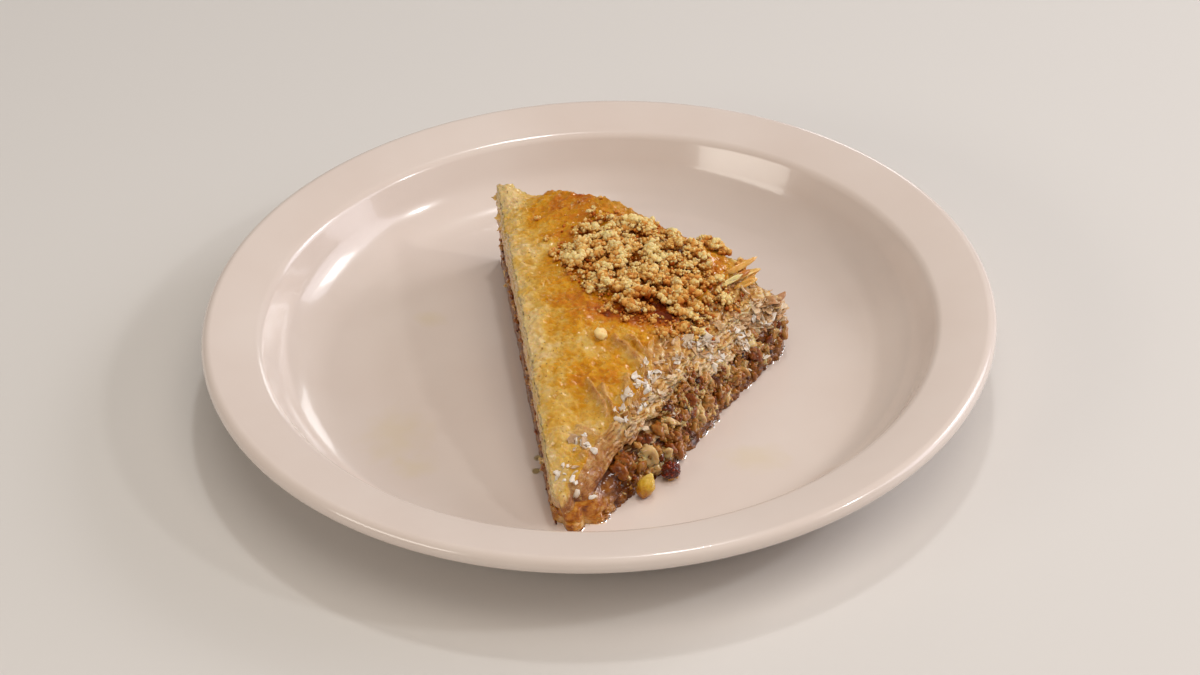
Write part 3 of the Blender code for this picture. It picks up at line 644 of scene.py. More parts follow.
def add_nut(heap, shape, centre, radius, tone, rng, rough=0.4, long=1.35, sides=9):
    """A chopped piece of nut: a lump cut off flat on some sides, with worn corners and an uneven skin."""
    directions, faces = shape
    cuts = [(random_way(rng), rng.uniform(0.45, 0.9)) for _ in range(sides)]
    stretch = Vector((rng.uniform(1.0, long), rng.uniform(0.8, 1.0), rng.uniform(0.65, 0.95)))
    spin = Euler([rng.uniform(0, math.tau) for _ in range(3)]).to_matrix()
    seed = Vector([rng.uniform(-50, 50) for _ in range(3)])
    points = []
    tones = []
    for direction in directions:
        reach = 1.05
        for way, depth in cuts:
            facing = direction.dot(way)
            if facing > 0.3:
                reach = min(reach, depth / facing)
        lump = noise.noise(direction * 1.9 + seed)
        skin = noise.noise(direction * (radius / (0.5 * MM)) + seed)
        point = direction * radius * (reach * 0.85 + rough * lump) + direction * 0.12 * MM * skin
        points.append(centre + spin @ Vector((point.x * stretch.x, point.y * stretch.y, point.z * stretch.z)))
        tones.append(tone + 0.18 * lump + 0.15 * skin)
    heap.add(points, faces, tone=tones)


def wall_place(side, place, share):
    """A point on a cut face: side as in stations, place 0 to 1 along it, share of the height of the piece."""
    across, along, way = ((1, place, RIGHT_OUT), (1 - place, 1, BACK_OUT), (0, 1 - place, LEFT_OUT))[side]
    if share < BASE_SHARE:
        sides = base_sides(share / BASE_SHARE)
    elif share < FILLING_SHARE:
        sides = filling_sides((share - BASE_SHARE) / (FILLING_SHARE - BASE_SHARE))
    else:
        sides = crust_sides((share - FILLING_SHARE) / (1 - FILLING_SHARE))
    point = plan_point(across, along, sides)
    height = WELL_FLOOR + share * (gentle_top(point) - WELL_FLOOR)
    return Vector((*point, height)), way.to_3d()


def crust_sides(share):
    return lean(share, LEAN_BASE + LEAN_FILLING, LEAN_CRUST, CRUST_TIP_INSET)


def nut_tone(rng):
    """A few pieces are dark with their skin on. The rest run evenly from amber through olive to pale beige."""
    if rng.random() < 0.1:
        return rng.uniform(-0.1, 0.08)
    return rng.uniform(0.1, 0.74)


rng = random.Random(11)
places = stations(FILLING_STEP)
ragged = (0.8 * MM, 0.5 * MM, 0.3 * MM, 0.3 * MM)
rings = []
for row in range(FILLING_ROWS + 1):
    share = row / FILLING_ROWS
    stand = (-1.1 + 0.4 * math.sin(share * math.pi)) * MM
    layer = (filling_sides, filling_bottom, filling_top, filling_relief)
    rings.append(wall_ring(places, share, row * 0.3, stand, ragged, *layer))
low_cap = fill_ring(rings[0], 3 * MM)
high_cap = fill_ring(rings[-1], 2.5 * MM)
verts, faces = closed_block(rings, low_cap, high_cap, filling_bottom, filling_top)
tones = []
ambers = []
for vert in verts:
    nearest = noise.voronoi(vert / (3.1 * MM))
    # The tone is lower in the cracks between the lumps, as painted shade; the cell number gives each lump its own
    # tone.
    tones.append(0.12 * noise.cell(nearest[1][0] * 9) + 0.42 * (1 - 1.6 * nearest[0][0]) + 0.04)
    # The paste on the closed face is painted lighter, as painted light where it lies in shade.
    if (BACK_LEFT - vert.xy).dot(LEFT_OUT) < 1.5 * MM:
        tones[-1] += 0.25
    ambers.append(max(0.0, min(1.0, 1.5 - (vert.y - TIP_LEFT.y) / AMBER_PASTE)))
paste = add_piece("walnut_paste", verts, faces, walnut_paste(), tone=tones, amber=ambers)

nuts = Heap()
for side, count, largest in ((0, NUTS_RIGHT, 2.9), (1, NUTS_BACK, 1.9), (2, NUTS_LEFT, 1.2)):
    for number in range(count):
        share = 0.10 + (FILLING_SHARE - 0.04) * rng.random()
        place = rng.uniform(0.02, 0.985)
        centre, way = wall_place(side, place, share)
        radius = (0.42 + (largest - 0.42) * rng.random() ** 2.2) * MM
        centre += way * (rng.uniform(-0.7, 0.35) * MM - 0.25 * radius)
        shape = LARGE_BALL if radius > 1.2 * MM else SMALL_BALL
        tone = nut_tone(rng) - 0.08 * max(0.0, 1 - place / 0.3)
        if side == 0 and rng.random() > 0.04 + 0.96 * nutty(place):
            continue
        add_nut(nuts, shape, centre, radius, tone, rng)
for number in range(NUTS_SPILLED):
    place, share = rng.uniform(0.36, 0.59), rng.uniform(0.56, 0.86)
    centre, way = wall_place(0, place, share)
    radius = (0.42 + 1.3 * rng.random() ** 2.5) * MM
    shape = LARGE_BALL if radius > 1.0 * MM else SMALL_BALL
    add_nut(nuts, shape, centre + way * rng.uniform(-0.2, 0.7) * MM, radius, nut_tone(rng), rng)
for place, share, radius, tone in LARGE_NUTS:
    centre, way = wall_place(0, place, share)
    add_nut(nuts, VERY_LARGE_BALL, centre - way * 0.4 * radius * MM, radius * MM, tone, rng, rough=0.35)
filling_stops = (
    (0.1, "2C0E00"),
    (0.3, "763404"),
    (0.45, "8E4E0E"),
    (0.62, "A06C2A"),
    (0.8, "B88648"),
    (0.95, "D4B47C"),
)
filling_nuts = nuts.piece("filling_nuts", chopped_walnut("wet chopped walnuts", filling_stops, 1.0, 0.6, 1.4 * MM))
for piece in (paste, filling_nuts):
    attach(piece, "root")
    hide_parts("nut_filling")

# Top crust
# Leaves of thin dough, brushed with butter and baked until the upper ones puffed and turned gold, then glazed
# with hot syrup. Towards the crumbled face the golden sheet has torn off and shows the pale leaves below it.

CRUST_STEP = 0.32 * MM
CRUST_LEAVES = 9
SWELLINGS = (
    (5.5, 32.0, 12.0, 4.2),
    (-6.0, 38.0, 6.0, 1.6),
    (-13.8, 37.0, 3.6, -1.3),
    (-22.0, 41.5, 4.5, 2.2),
    (-4.5, -14.0, 8.0, 1.0),
    (4.2, -33.0, 5.0, 1.4),
    (-3.0, -40.0, 3.5, -0.7),
    (-8.0, -49.0, 5.0, 0.7),
    (-14.0, -2.0, 5.0, 0.5),
    (-10.0, 14.0, 5.0, -0.5),
    (27.0, 9.0, 8.0, 1.9),
)
# Depth of bake against an even gold: X, Y, half width, half length along Y, how much deeper
BAKE_PATCHES = (
    (-6, 31, 7, 7, 0.30),
    (-14, 26, 4, 7, 0.14),
    (12, 9, 15, 16, 0.50),
    (-4, 4, 5, 10, 0.16),
    (4, -13, 7, 4, 0.34),
    (-6, -12, 6, 6, 0.14),
    (-5, -34, 4, 6, 0.16),
    (3, -33, 3, 4, 0.12),
    (20, -12, 10, 5, 0.30),
    # These two also darken the crust in the hollow at the heap's front, as painted shade as well as deeper bake.
    (12, -9, 5, 4, 0.35),
    (14.5, -12, 4, 3, 0.5),
    (12, -17, 5, 4, 0.12),
    (-20, 37, 5, 6, -0.34),
    (-14, 13, 4, 7, -0.16),
    (-8, -24, 5, 3, -0.16),
    (-14, -16, 3, 8, -0.16),
    (-2, -44, 3, 4, -0.30),
    (-9, -46, 4, 8, -0.08),
)
# Where the golden sheet ends towards the crumbled face: Y, X
GOLDEN_EDGE = (
    (-64, -5.5),
    (-54, -1.2),
    (-48, 2.5),
    (-42, 5.5),
    (-36, 7.5),
    (-31, 9.8),
    (-28, 11.2),
    (-24, 10.6),
    (-20, 12.0),
    (-15, 17.0),
    (-8, 22.0),
    (0, 28.0),
    (8, 33.5),
    (16, 38.0),
)
TERRACE = 1.9 * MM  # width of the steps that the torn leaves leave
# Crumpled folds that the sheet stands in, paler than the rest: X and Y of both ends, half width, how strong
FOLDS = (
    (3.8, -21.6, 8.2, -26.6, 1.1, 1.0),
    (8.2, -26.6, 10.6, -30.4, 1.0, 1.0),
    (7.2, -20.4, 10.8, -26.0, 0.7, 1.0),
    (5.6, -32.5, 5.8, -40.5, 0.8, 0.9),
    (5.8, -40.5, 0.8, -47.2, 0.7, 0.9),
    (0.8, -47.2, -4.4, -52.2, 0.7, 0.8),
    (-2.3, -34.5, 1.2, -42.5, 0.8, 1.0),
    (0.2, -35.5, 3.2, -43.0, 0.6, 0.9),
    (-4.7, -45.8, -0.8, -47.2, 1.6, 0.7),
)
BACK_BLISTERS = 7 * MM  # the sheet is blistered and pink within this of the back edge, behind the crumbs


def base_crust_top(point):
    """The crust's upper side as in the solid, with its swellings and rounded left and back edges."""
    height = gentle_top(point)
    for x, y, half_width, rise in SWELLINGS:
        aside = ((point.x / MM - x) ** 2 + (point.y / MM - y) ** 2) / half_width**2
        height += rise * MM * math.exp(-aside)
    from_left = (BACK_LEFT - point).dot(LEFT_OUT)
    from_back = (BACK_LEFT - point).dot(BACK_OUT)
    height -= 1.3 * MM * squared_falloff(from_left, 5 * MM)
    height -= 0.7 * MM * squared_falloff(from_back, 4 * MM)
    return height + 0.35 * MM * grain(point, 7 * MM)


def past_golden_edge(point):
    """Distance past the torn edge of the golden sheet, less than 0 on the sheet, with the tear's own jags."""
    y = point.y / MM
    for (low_y, low_x), (high_y, high_x) in zip(GOLDEN_EDGE, GOLDEN_EDGE[1:]):
        if y < high_y:
            break
    edge_x = low_x + (high_x - low_x) * (y - low_y) / (high_y - low_y)
    past = (point.x / MM - edge_x) * 0.78 * MM
    return past + 1.3 * MM * grain(point, 3.6 * MM, 4.0) + 0.6 * MM * grain(point, 1.3 * MM, 9.0)


def slant(point):
    """Turns and squeezes a place, for creases that run from the left edge down towards the tip."""
    return Vector((point.x + 0.5 * point.y, 2.2 * point.y))


def ridges(point, size, layer):
    """Noise with sharp crests, from 0 to 1."""
    return 1 - abs(grain(point, size, layer)) * 2


def blistered(point):
    """1 at the back edge behind the crumbs, fading forwards and towards the left corner."""
    from_back = (BACK_LEFT - point).dot(BACK_OUT)
    return squared_falloff(from_back, BACK_BLISTERS) * max(0.0, min(1.0, (point.x + 2 * MM) / (8 * MM)))


def fold_at(point):
    """1 on the crest of a crumpled fold, 0 away from all of them."""
    wave = Vector((grain(point, 3.5 * MM, 13.0), grain(point, 3.5 * MM, 14.0))) * 0.9
    place = point.xy / MM + wave
    most = 0.0
    for start_x, start_y, end_x, end_y, half_width, strength in FOLDS:
        start = Vector((start_x, start_y))
        run = Vector((end_x, end_y)) - start
        nearest = start + run * max(0.0, min(1.0, (place - start).dot(run) / run.length_squared))
        away = (place - nearest).length / half_width
        if away < 2.5:
            most = max(most, strength * math.exp(-away * away))
    return most


def puffs(point):
    """Small bubbles and wrinkles of the golden sheet, in metres."""
    place = point.to_3d()
    bubbles = 0.42 * crowns(place, 4.6 * MM) + 0.34 * max(0.0, crowns(place, 2.1 * MM))
    bubbles *= 0.6 + 0.8 * grain(point, 9 * MM, 8.0)
    slanted = slant(point)
    wrinkles = 0.36 * ridges(slanted, 3.4 * MM, 3.0) + 0.3 * ridges(slanted, 1.5 * MM, 5.0)
    from_left = (BACK_LEFT - point).dot(LEFT_OUT)
    return (1.35 + 1.2 * squared_falloff(from_left, 8 * MM)) * (bubbles + wrinkles) * MM


def crust_top(point):
    """The upper side with its puffs, wrinkles and torn steps."""
    height = base_crust_top(point)
    past = past_golden_edge(point)
    if past < 0:
        folded = math.exp(-(((past + 1.6 * MM) / (1.8 * MM)) ** 2))
        height += puffs(point) + folded * 0.55 * MM * (ridges(point, 2.6 * MM, 3.5) - 0.3)
        height += 0.45 * MM * math.exp(-((past / (0.45 * MM)) ** 2))
        height += 1.7 * MM * fold_at(point)
        return height + 0.5 * MM * blistered(point) * crowns(point.to_3d(), 1.7 * MM)
    step = past / TERRACE + 0.9 * grain(point, 5 * MM, 6.0) + 0.4 * grain(point, 1.6 * MM, 6.5)
    height += 0.75 * MM * (step - math.floor(step) - 0.6)
    crumbled = 0.45 * crowns(point.to_3d(), 3.0 * MM) + 0.25 * crowns(point.to_3d(), 1.3 * MM)
    return height + (crumbled - 0.45) * MM


def crust_bottom(point):
    return filling_top(point) - 0.1 * MM


def crust_relief(place, side, along, share):
    """The cut leaves near the tip have soaked into soft folds. Elsewhere they are crumbled."""
    if side != 0:
        return 0.2 * MM * crowns(place, 1.5 * MM)
    folds = 0.6 * grain(place, 5 * MM, place.z / (2.5 * MM)) + 0.15 * crowns(place, 2.4 * MM)
    crumbled = 0.7 * crowns(place, 2.4 * MM) + 0.3 * crowns(place, 1.1 * MM)
    amount = nutty(along)
    whole = FILLING_SHARE + share * (1 - FILLING_SHARE)
    return (folds * (1 - amount) + crumbled * amount) * MM - CREVICE * crevice_at(along, whole)


def bake_at(point):
    """How deep the bake is, 0 for cream to 1 for dark orange."""
    from_left = (BACK_LEFT - point).dot(LEFT_OUT)
    depth = 0.46 - 0.36 * squared_falloff(from_left, 11 * MM)
    for x, y, half_width, half_length, more in BAKE_PATCHES:
        aside = ((point.x / MM - x) / half_width) ** 2 + ((point.y / MM - y) / half_length) ** 2
        depth += more * math.exp(-aside)
    depth += 0.26 * grain(point, 5 * MM, 11.0) + 0.12 * grain(slant(point), 2.0 * MM, 12.0)
    depth -= 0.3 * fold_at(point)
    depth -= 0.15 * blistered(point)
    return depth - 0.16 * max(0.0, crowns(point.to_3d(), 1.9 * MM))


def golden_crust():
    """Baked pastry under syrup: the sheet is half clear, so its colour runs from cream through amber to dark
    orange with the depth of bake, and small bubbles under it are paler. Pale flecks on the sheet are partly
    crackle and partly painted highlights. Torn leaves are dry, pale and matt at their edges, and brown where
    syrup reached them; in the crevice at the crumbled face's foot and under spilled nuts they are painted
    darker still, as shade. Brown specks of baked butter and spice are drawn 0.4 mm wide, coarser than the
    finest real ones, so that they show."""
    material, tree, shader = new_finish("golden pastry under syrup")
    place = add_node(tree, "TexCoord", {}).outputs["Object"]
    bake = add_node(tree, "Attribute", {}, attribute_name="bake").outputs["Fac"]
    torn = add_node(tree, "Attribute", {}, attribute_name="torn").outputs["Fac"]
    edge = add_node(tree, "Attribute", {}, attribute_name="edge").outputs["Fac"]
    # wet also carries painted shade in the crevice at the crumbled face's foot and under spilled nuts, shown in the
    # soaked browns.
    wet = add_node(tree, "Attribute", {}, attribute_name="wet").outputs["Fac"]
    mottle = add_node(tree, "TexNoise", {"Vector": place, "Scale": 1 / (0.9 * MM), "Detail": 4})
    deep = add_node(tree, "Math", {0: mottle, 1: 0.3, 2: bake}, operation="MULTIPLY_ADD")
    centred = add_node(tree, "Math", {0: deep, 1: 0.15}, operation="SUBTRACT")
    stops = ((0.0, "E4C68A"), (0.22, "DCB050"), (0.45, "D49404"), (0.68, "C87800"), (0.88, "B45C00"), (1.0, "843202"))
    gold = add_node(tree, "ValToRGB", {0: centred}, stops=stops).outputs[0]
    layers = add_node(tree, "TexNoise", {"Vector": place, "Scale": 1 / (2.2 * MM), "Detail": 5})
    crest = add_node(tree, "Math", {0: edge, 1: 0.42, 2: layers}, operation="MULTIPLY_ADD")
    stops = ((0.25, "8E4C12"), (0.5, "BA8038"), (0.7, "D0A05C"), (0.88, "DEB880"), (1.0, "E8CEA4"))
    dry = add_node(tree, "ValToRGB", {0: crest}, stops=stops).outputs[0]
    stops = ((0.0, "1E0A02"), (0.3, "743A12"), (0.5, "A4682E"), (0.65, "B88850"), (0.8, "D0AC80"))
    soaked = add_node(tree, "ValToRGB", {0: crest}, stops=stops).outputs[0]
    torn_colour = add_node(tree, "Mix", {0: wet, 6: dry, 7: soaked}, data_type="RGBA").outputs[2]
    both = add_node(tree, "Mix", {0: torn, 6: gold, 7: torn_colour}, data_type="RGBA").outputs[2]
    # Pale flecks: partly crackle, partly painted highlights on the sheet's small bumps.
    flecks = add_node(tree, "TexNoise", {"Vector": place, "Scale": 1 / (1.0 * MM), "Detail": 3, "Roughness": 0.7})
    where = add_node(tree, "TexNoise", {"Vector": place, "Scale": 1 / (7 * MM), "Detail": 2})
    patchy = add_node(tree, "MapRange", {0: where, 1: 0.42, 2: 0.62, 3: 0.1, 4: 0.6})
    flecks_and_painted_glints = add_node(tree, "MapRange", {0: flecks, 1: 0.56, 2: 0.68, 3: 0.0, 4: patchy})
    both = add_node(tree, "Mix", {0: flecks_and_painted_glints, 6: both, 7: linear("E8C478")}, data_type="RGBA").outputs[2]
    dots = add_node(tree, "TexNoise", {"Vector": place, "Scale": 1 / (0.7 * MM), "Detail": 1})
    specks = add_node(tree, "MapRange", {0: dots, 1: 0.69, 2: 0.74, 3: 0.0, 4: 0.7})
    paler = add_node(tree, "MapRange", {0: bake, 1: 0.5, 2: 0.2, 3: 0.15, 4: 1.0})
    shown = add_node(tree, "Math", {0: specks, 1: paler}, operation="MULTIPLY")
    colour = add_node(tree, "Mix", {0: shown, 6: both, 7: linear("7A4A1E")}, data_type="RGBA").outputs[2]
    left_dry = add_node(tree, "Math", {0: 1.0, 1: wet}, operation="SUBTRACT")
    dryness = add_node(tree, "Math", {0: torn, 1: left_dry}, operation="MULTIPLY")
    gloss = add_node(tree, "MapRange", {0: dryness, 1: 0.0, 2: 1.0, 3: 1.0, 4: 0.5})
    fine = add_node(tree, "TexNoise", {"Vector": place, "Scale": 1 / (1.1 * MM), "Detail": 4, "Roughness": 0.6})
    bump = add_node(tree, "Bump", {"Height": fine, "Strength": 1.0, "Distance": 0.6 * MM})
    sockets = {"Base Color": colour, "Roughness": 0.5, "Coat Weight": gloss, "Coat Roughness": 0.03}
    sockets |= {"Subsurface Weight": 0.3, "Subsurface Radius": (1, 0.45, 0.08), "Subsurface Scale": 1.3 * MM}
    sockets |= {"IOR": 1.45, "Specular IOR Level": 0.2, "Coat IOR": 1.45}
    film = add_node(tree, "TexNoise", {"Vector": place, "Scale": 1 / (2 * MM), "Detail": 1})
    film_bump = add_node(tree, "Bump", {"Height": film, "Strength": 1.0, "Distance": 0.5 * MM})
    connect(tree, shader, {**sockets, "Normal": bump, "Coat Normal": film_bump})
    return material


places = stations(CRUST_STEP)
ragged = (1.1 * MM, 0.8 * MM, 0.7 * MM, 0.9 * MM)
rings = []
edges = []
for share, leaf, stand in leaf_rows(CRUST_LEAVES, 0.2 * MM, -0.2 * MM):
    layer = (crust_sides, crust_bottom, crust_top, crust_relief)
    rings.append(wall_ring(places, share, leaf, stand, ragged, *layer))
    edges += [1.0 if stand > 0 else 0.0] * len(places)
low_cap = fill_ring(rings[0], 3 * MM)
high_cap = fill_ring(rings[-1], CRUST_STEP)
verts, faces = closed_block(rings, low_cap, high_cap, crust_bottom, crust_top)
bakes = []
torns = []
wet_and_crevice_shade = []
for number, point in enumerate(verts):
    on_wall = number < (len(rings) - 2) * len(places)
    past = past_golden_edge(point.xy)
    bakes.append(bake_at(point.xy))
    low = crust_bottom(point.xy)
    share = (point.z - low) / (crust_top(point.xy) - low)
    torn = max(0.0, min(1.0, past / (0.35 * MM) + 0.5))
    dark = 0.0
    if on_wall:
        _, along, side, _, _ = places[number % len(places)]
        torn = 1.0 if side == 0 else max(0.0, min(1.0, 2.6 - 3 * share))
        # dark is painted shade in the crevice at the crust's foot and under the spilled nuts: it lowers the edge
        # value and raises the wet value, both towards the soaked brown.
        if side in (0, 3):
            whole = FILLING_SHARE + share * (1 - FILLING_SHARE)
            dark = max(crevice_at(along, whole), 0.5 * spilled(along, whole))
            edges[number] *= 0.15 + 0.85 * nutty(along)
            edges[number] -= 0.4 * (1 - nutty(along)) * max(0.0, 1 - 1.8 * share) + 1.5 * dark
    torns.append(max(torn, 0.75 * blistered(point.xy), 0.95 * fold_at(point.xy)))
    near_tip = 1 - (point.y - TIP_LEFT.y) / (40 * MM)
    wet_and_crevice_shade.append(max(0.0, min(1.0, 0.75 - 1.3 * share + 1.2 * max(0.0, near_tip) + dark)))
    if number >= len(edges):
        step = past / TERRACE + 0.9 * grain(point.xy, 5 * MM, 6.0) + 0.4 * grain(point.xy, 1.6 * MM, 6.5)
        edges.append((step - math.floor(step)) ** 2 if past > 0 else 0.0)
        wet_and_crevice_shade[-1] = 0.0
crust = add_piece("golden_crust", verts, faces, golden_crust(), bake=bakes, torn=torns, edge=edges, wet=wet_and_crevice_shade)
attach(crust, "root")
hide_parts("top_pastry")

# Torn leaves
# Scraps of the crust's own leaves, dry and white or pink where no syrup reached them. They hang on the crumbled
# face where the cut pulled them, lie as chips on the shoulder, and stand up as stiff golden shards at the back.

LEAVES_ON_FACE = 110
CRUMBS_ON_SHOULDER = 260
CORNER_LEAVES = 60  # longer leaves, stacked and frayed, at the back corner
CHIP_PLACES = (
    (20.5, -17.6, 9),
    (23.5, -16.4, 11),
    (27.0, -15.5, 5),
    (32.5, -9.5, 7),
    (36.5, -4.5, 3),
    (40.5, -2.0, 4),
    (17.5, -24.0, 3),
    (11.5, -29.0, 6),
    (9.5, -33.5, 9),
    (7.5, -37.5, 6),
    (14.0, -35.0, 3),
    (4.0, -41.5, 2),
    (-4.3, -49.0, 7),
    (-7.8, -55.5, 4),
    (-5.5, -57.5, 2),
)

# Golden shards: X, Y, height over the crust, length, width, heading
SHARDS = (
    (33.6, 5.6, 3.6, 8.0, 1.4, 0.50),
    (34.4, 4.6, 2.9, 7.5, 1.3, 0.44),
    (32.6, 3.6, 2.2, 7.5, 1.5, 0.53),
    (31.2, 2.6, 1.5, 6.0, 1.3, 0.60),
    (34.6, 3.0, 1.4, 6.0, 1.4, 0.38),
    (36.0, 5.2, 2.6, 5.0, 1.1, 0.62),
)


def torn_scrap(length, width, thickness, curl, full, rng):
    """A torn scrap of leaf round the origin, curled and rippled, as a thin closed slab with ragged corners. full
    is how far its hollows reach out."""
    corners = 11
    seed = rng.uniform(-50, 50)
    reach = [rng.uniform(full, 1.2) for _ in range(corners)]
    upper = [Vector((0, 0, 0))]
    for share in (0.55, 1.0):
        for corner in range(corners):
            angle = math.tau * (corner + rng.uniform(-0.25, 0.25)) / corners
            out = share * reach[corner] / 2
            upper.append(Vector((out * math.cos(angle), out * math.sin(angle), 0)))
    for point in upper:
        ripple = 0.45 * noise.noise(Vector((point.x * 3.5, point.y * 3.5, seed)))
        point.z = (ripple + curl * (point.x**2 + point.y**2) * 2) * min(length, width)
        point.x *= length
        point.y *= width
    count = len(upper)
    faces = []
    for corner in range(corners):
        after = (corner + 1) % corners
        a, b, c, d = 1 + corner, 1 + after, 1 + corners + after, 1 + corners + corner
        faces += [(0, a, b), (a, d, c, b)]
        faces += [(count, count + b, count + a), (count + a, count + b, count + c, count + d)]
        faces.append((d, count + d, count + c, c))
    return upper + [point - Vector((0, 0, thickness)) for point in upper], faces


def dry_leaf(name, stops, clear, gloss=0.3):
    """Dry pastry leaf, thinner than paper: it lets light through, and its surface is matt with fine creases."""
    material, tree, shader = new_finish(name)
    place = add_node(tree, "TexCoord", {}).outputs["Object"]
    tone = add_node(tree, "Attribute", {}, attribute_name="tone").outputs["Fac"]
    mottle = add_node(tree, "TexNoise", {"Vector": place, "Scale": 1 / (0.8 * MM), "Detail": 3})
    mixed = add_node(tree, "Math", {0: mottle, 1: 0.4, 2: tone}, operation="MULTIPLY_ADD")
    colour = add_node(tree, "ValToRGB", {0: mixed}, stops=stops)
    bump = add_node(tree, "Bump", {"Height": mottle, "Strength": 0.5, "Distance": 0.2 * MM})
    sockets = {"Base Color": colour, "Roughness": 0.5, "Coat Weight": gloss, "Coat Roughness": 0.15}
    sockets |= {"Subsurface Weight": clear, "Subsurface Radius": (1, 0.65, 0.4), "Subsurface Scale": 0.8 * MM}
    connect(tree, shader, {**sockets, "Specular IOR Level": 0.3, "Normal": bump})
    return material


def surface_of(pieces):
    """A tree of all the faces of some pieces, for finding the surface at a place."""
    points = []
    polygons = []
    for piece in pieces:
        start = len(points)
        points += [vert.co for vert in piece.data.vertices]
        polygons += [[start + vert for vert in polygon.vertices] for polygon in piece.data.polygons]
    return BVHTree.FromPolygons(points, polygons)


def over(tree, x, y):
    """The first surface below a place in plan, and its normal."""
    hit, normal, _, _ = tree.ray_cast(Vector((x, y, 100 * MM)), Vector((0, 0, -1)))
    return hit, normal


def laid_on(point, normal, spin, tilt):
    """A matrix that lays a flat thing on a surface, turned by spin and tipped up by tilt."""
    face = normal.to_track_quat("Z", "Y").to_matrix().to_4x4()
    return Matrix.Translation(point) @ face @ Euler((tilt, 0, spin), "XYZ").to_matrix().to_4x4()


def add_scrap(heap, matrix, length, width, curl, tone, rng, thickness=0.13 * MM, full=0.4):
    points, scrap_faces = torn_scrap(length, width, thickness, curl, full, rng)
    heap.add([matrix @ point for point in points], scrap_faces, tone=tone)


rng = random.Random(23)
food = surface_of((crust, paste, bottom_leaves))
scraps = Heap()
for number in range(LEAVES_ON_FACE):
    share = rng.uniform(FILLING_SHARE - 0.04, 1.0)
    place = rng.uniform(0.22, 0.98)
    if rng.random() < spilled(place, share):
        continue
    start, way = wall_place(0, place, share)
    hit, normal, _, _ = food.ray_cast(start + way * 8 * MM, -way)
    if hit is None:
        continue
    tilted = (normal + Vector((0, 0, rng.uniform(0.0, 0.9)))).normalized()
    matrix = laid_on(hit + normal * 0.1 * MM, tilted, rng.uniform(-0.5, 0.5), rng.uniform(-0.4, 0.3))
    length = rng.uniform(1.5, 4.5) * MM
    add_scrap(scraps, matrix, length, rng.uniform(0.9, 2.0) * MM, rng.uniform(-0.4, 0.4), rng.uniform(0, 0.6), rng)
for number in range(CRUMBS_ON_SHOULDER):
    y = rng.uniform(-46, 8)
    start, way = wall_place(0, (y - TIP_RIGHT.y / MM) / ((BACK_RIGHT.y - TIP_RIGHT.y) / MM), 1.0)
    point = start + way * rng.gauss(-1.5, 3.2) * MM
    hit, normal = over(food, point.x, point.y)
    if hit is None or hit.z < WELL_FLOOR + 5 * MM or past_golden_edge(hit.xy) < 0.5 * MM:
        continue
    size = (0.8 + 2.8 * rng.random() ** 2) * MM
    matrix = laid_on(hit + normal * 0.15 * MM, normal, rng.gauss(0.55, 0.4), rng.uniform(-0.35, 0.35))
    add_scrap(scraps, matrix, size, size * rng.uniform(0.3, 0.7), 0.5, rng.uniform(0, 0.7), rng, 0.2 * MM)
for number in range(CORNER_LEAVES):
    start, way = wall_place(0, rng.uniform(0.80, 0.995), rng.uniform(0.72, 1.0))
    hit, normal, _, _ = food.ray_cast(start + way * 8 * MM, -way)
    if hit is None:
        continue
    tilted = (Vector((0, 0, 1)) + normal * rng.uniform(0.2, 0.7)).normalized()
    matrix = laid_on(hit + normal * 0.2 * MM, tilted, rng.uniform(-0.4, 0.4), rng.uniform(-0.2, 0.2))
    length = rng.uniform(2.5, 6) * MM
    add_scrap(scraps, matrix, length, length * rng.uniform(0.3, 0.5), 0.2, rng.uniform(0.05, 0.6), rng)
scrap_stops = ((0.1, "8C5630"), (0.4, "B98758"), (0.65, "D6AE82"), (0.9, "E9D2B6"), (1.0, "F2E6D8"))
torn_leaves = scraps.piece("torn_leaves", dry_leaf("half-dry pastry leaf", scrap_stops, 0.3))

chips = Heap()
for x, y, count in CHIP_PLACES:
    for number in range(2 * count):
        place = Vector((x + rng.gauss(0, 1.2), y + rng.gauss(0, 1.0))) * MM
        hit, normal = over(food, place.x, place.y)
        if hit is None:
            continue
        matrix = laid_on(hit + normal * 0.3 * MM, normal, rng.uniform(0, math.tau), rng.uniform(-0.6, 0.6))
        size = (1.0 + 3.2 * rng.random() ** 1.4) * MM
        wide = size * rng.uniform(0.4, 0.8)
        add_scrap(chips, matrix, size, wide, rng.uniform(-1, 1), rng.uniform(0.1, 1), rng, full=0.5)
chip_stops = ((0.25, "C8A078"), (0.6, "E6D2BA"), (1.0, "F4EADC"))
white_chips = chips.piece("white_leaf_chips", dry_leaf("dry white pastry leaf", chip_stops, 0.2))

shards = Heap()
for x, y, rise, length, wide, heading in SHARDS:
    hit, normal = over(food, x * MM, y * MM)
    turned = Euler((rng.uniform(0.4, 0.8), rng.uniform(-0.2, -0.1), heading))
    matrix = Matrix.Translation(hit + Vector((0, 0, rise * MM))) @ turned.to_matrix().to_4x4()
    add_scrap(shards, matrix, length * MM, wide * MM, 0.1, rng.uniform(0.1, 0.8), rng, 0.2 * MM, 1.0)
for place, share, size in ((0.085, 0.86, 3.0), (0.105, 0.78, 2.2), (0.02, 0.95, 2.6)):
    start, way = wall_place(2, place, share)
    matrix = laid_on(start + way * 0.5 * MM, Vector((-0.5, -0.2, 0.85)), rng.uniform(0, 3), 0)
    add_scrap(shards, matrix, size * MM, size * 0.7 * MM, 0.2, 0.6, rng, 0.25 * MM)
shard_stops = ((0.2, "B4640C"), (0.6, "DC9832"), (1.0, "F4D48C"))
golden_shards = shards.piece("golden_shards", dry_leaf("stiff golden pastry leaf", shard_stops, 0.5, 1.0))
for piece in (torn_leaves, white_chips, golden_shards):
    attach(piece, "root")
    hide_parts("top_pastry")

# Heap of crumbs
# Walnuts ground coarse and strewn by hand over the glazed crust: crumbly nuggets of pale flesh, some with brown
# skin on them, on a bed of smaller grains that the syrup has glued down.

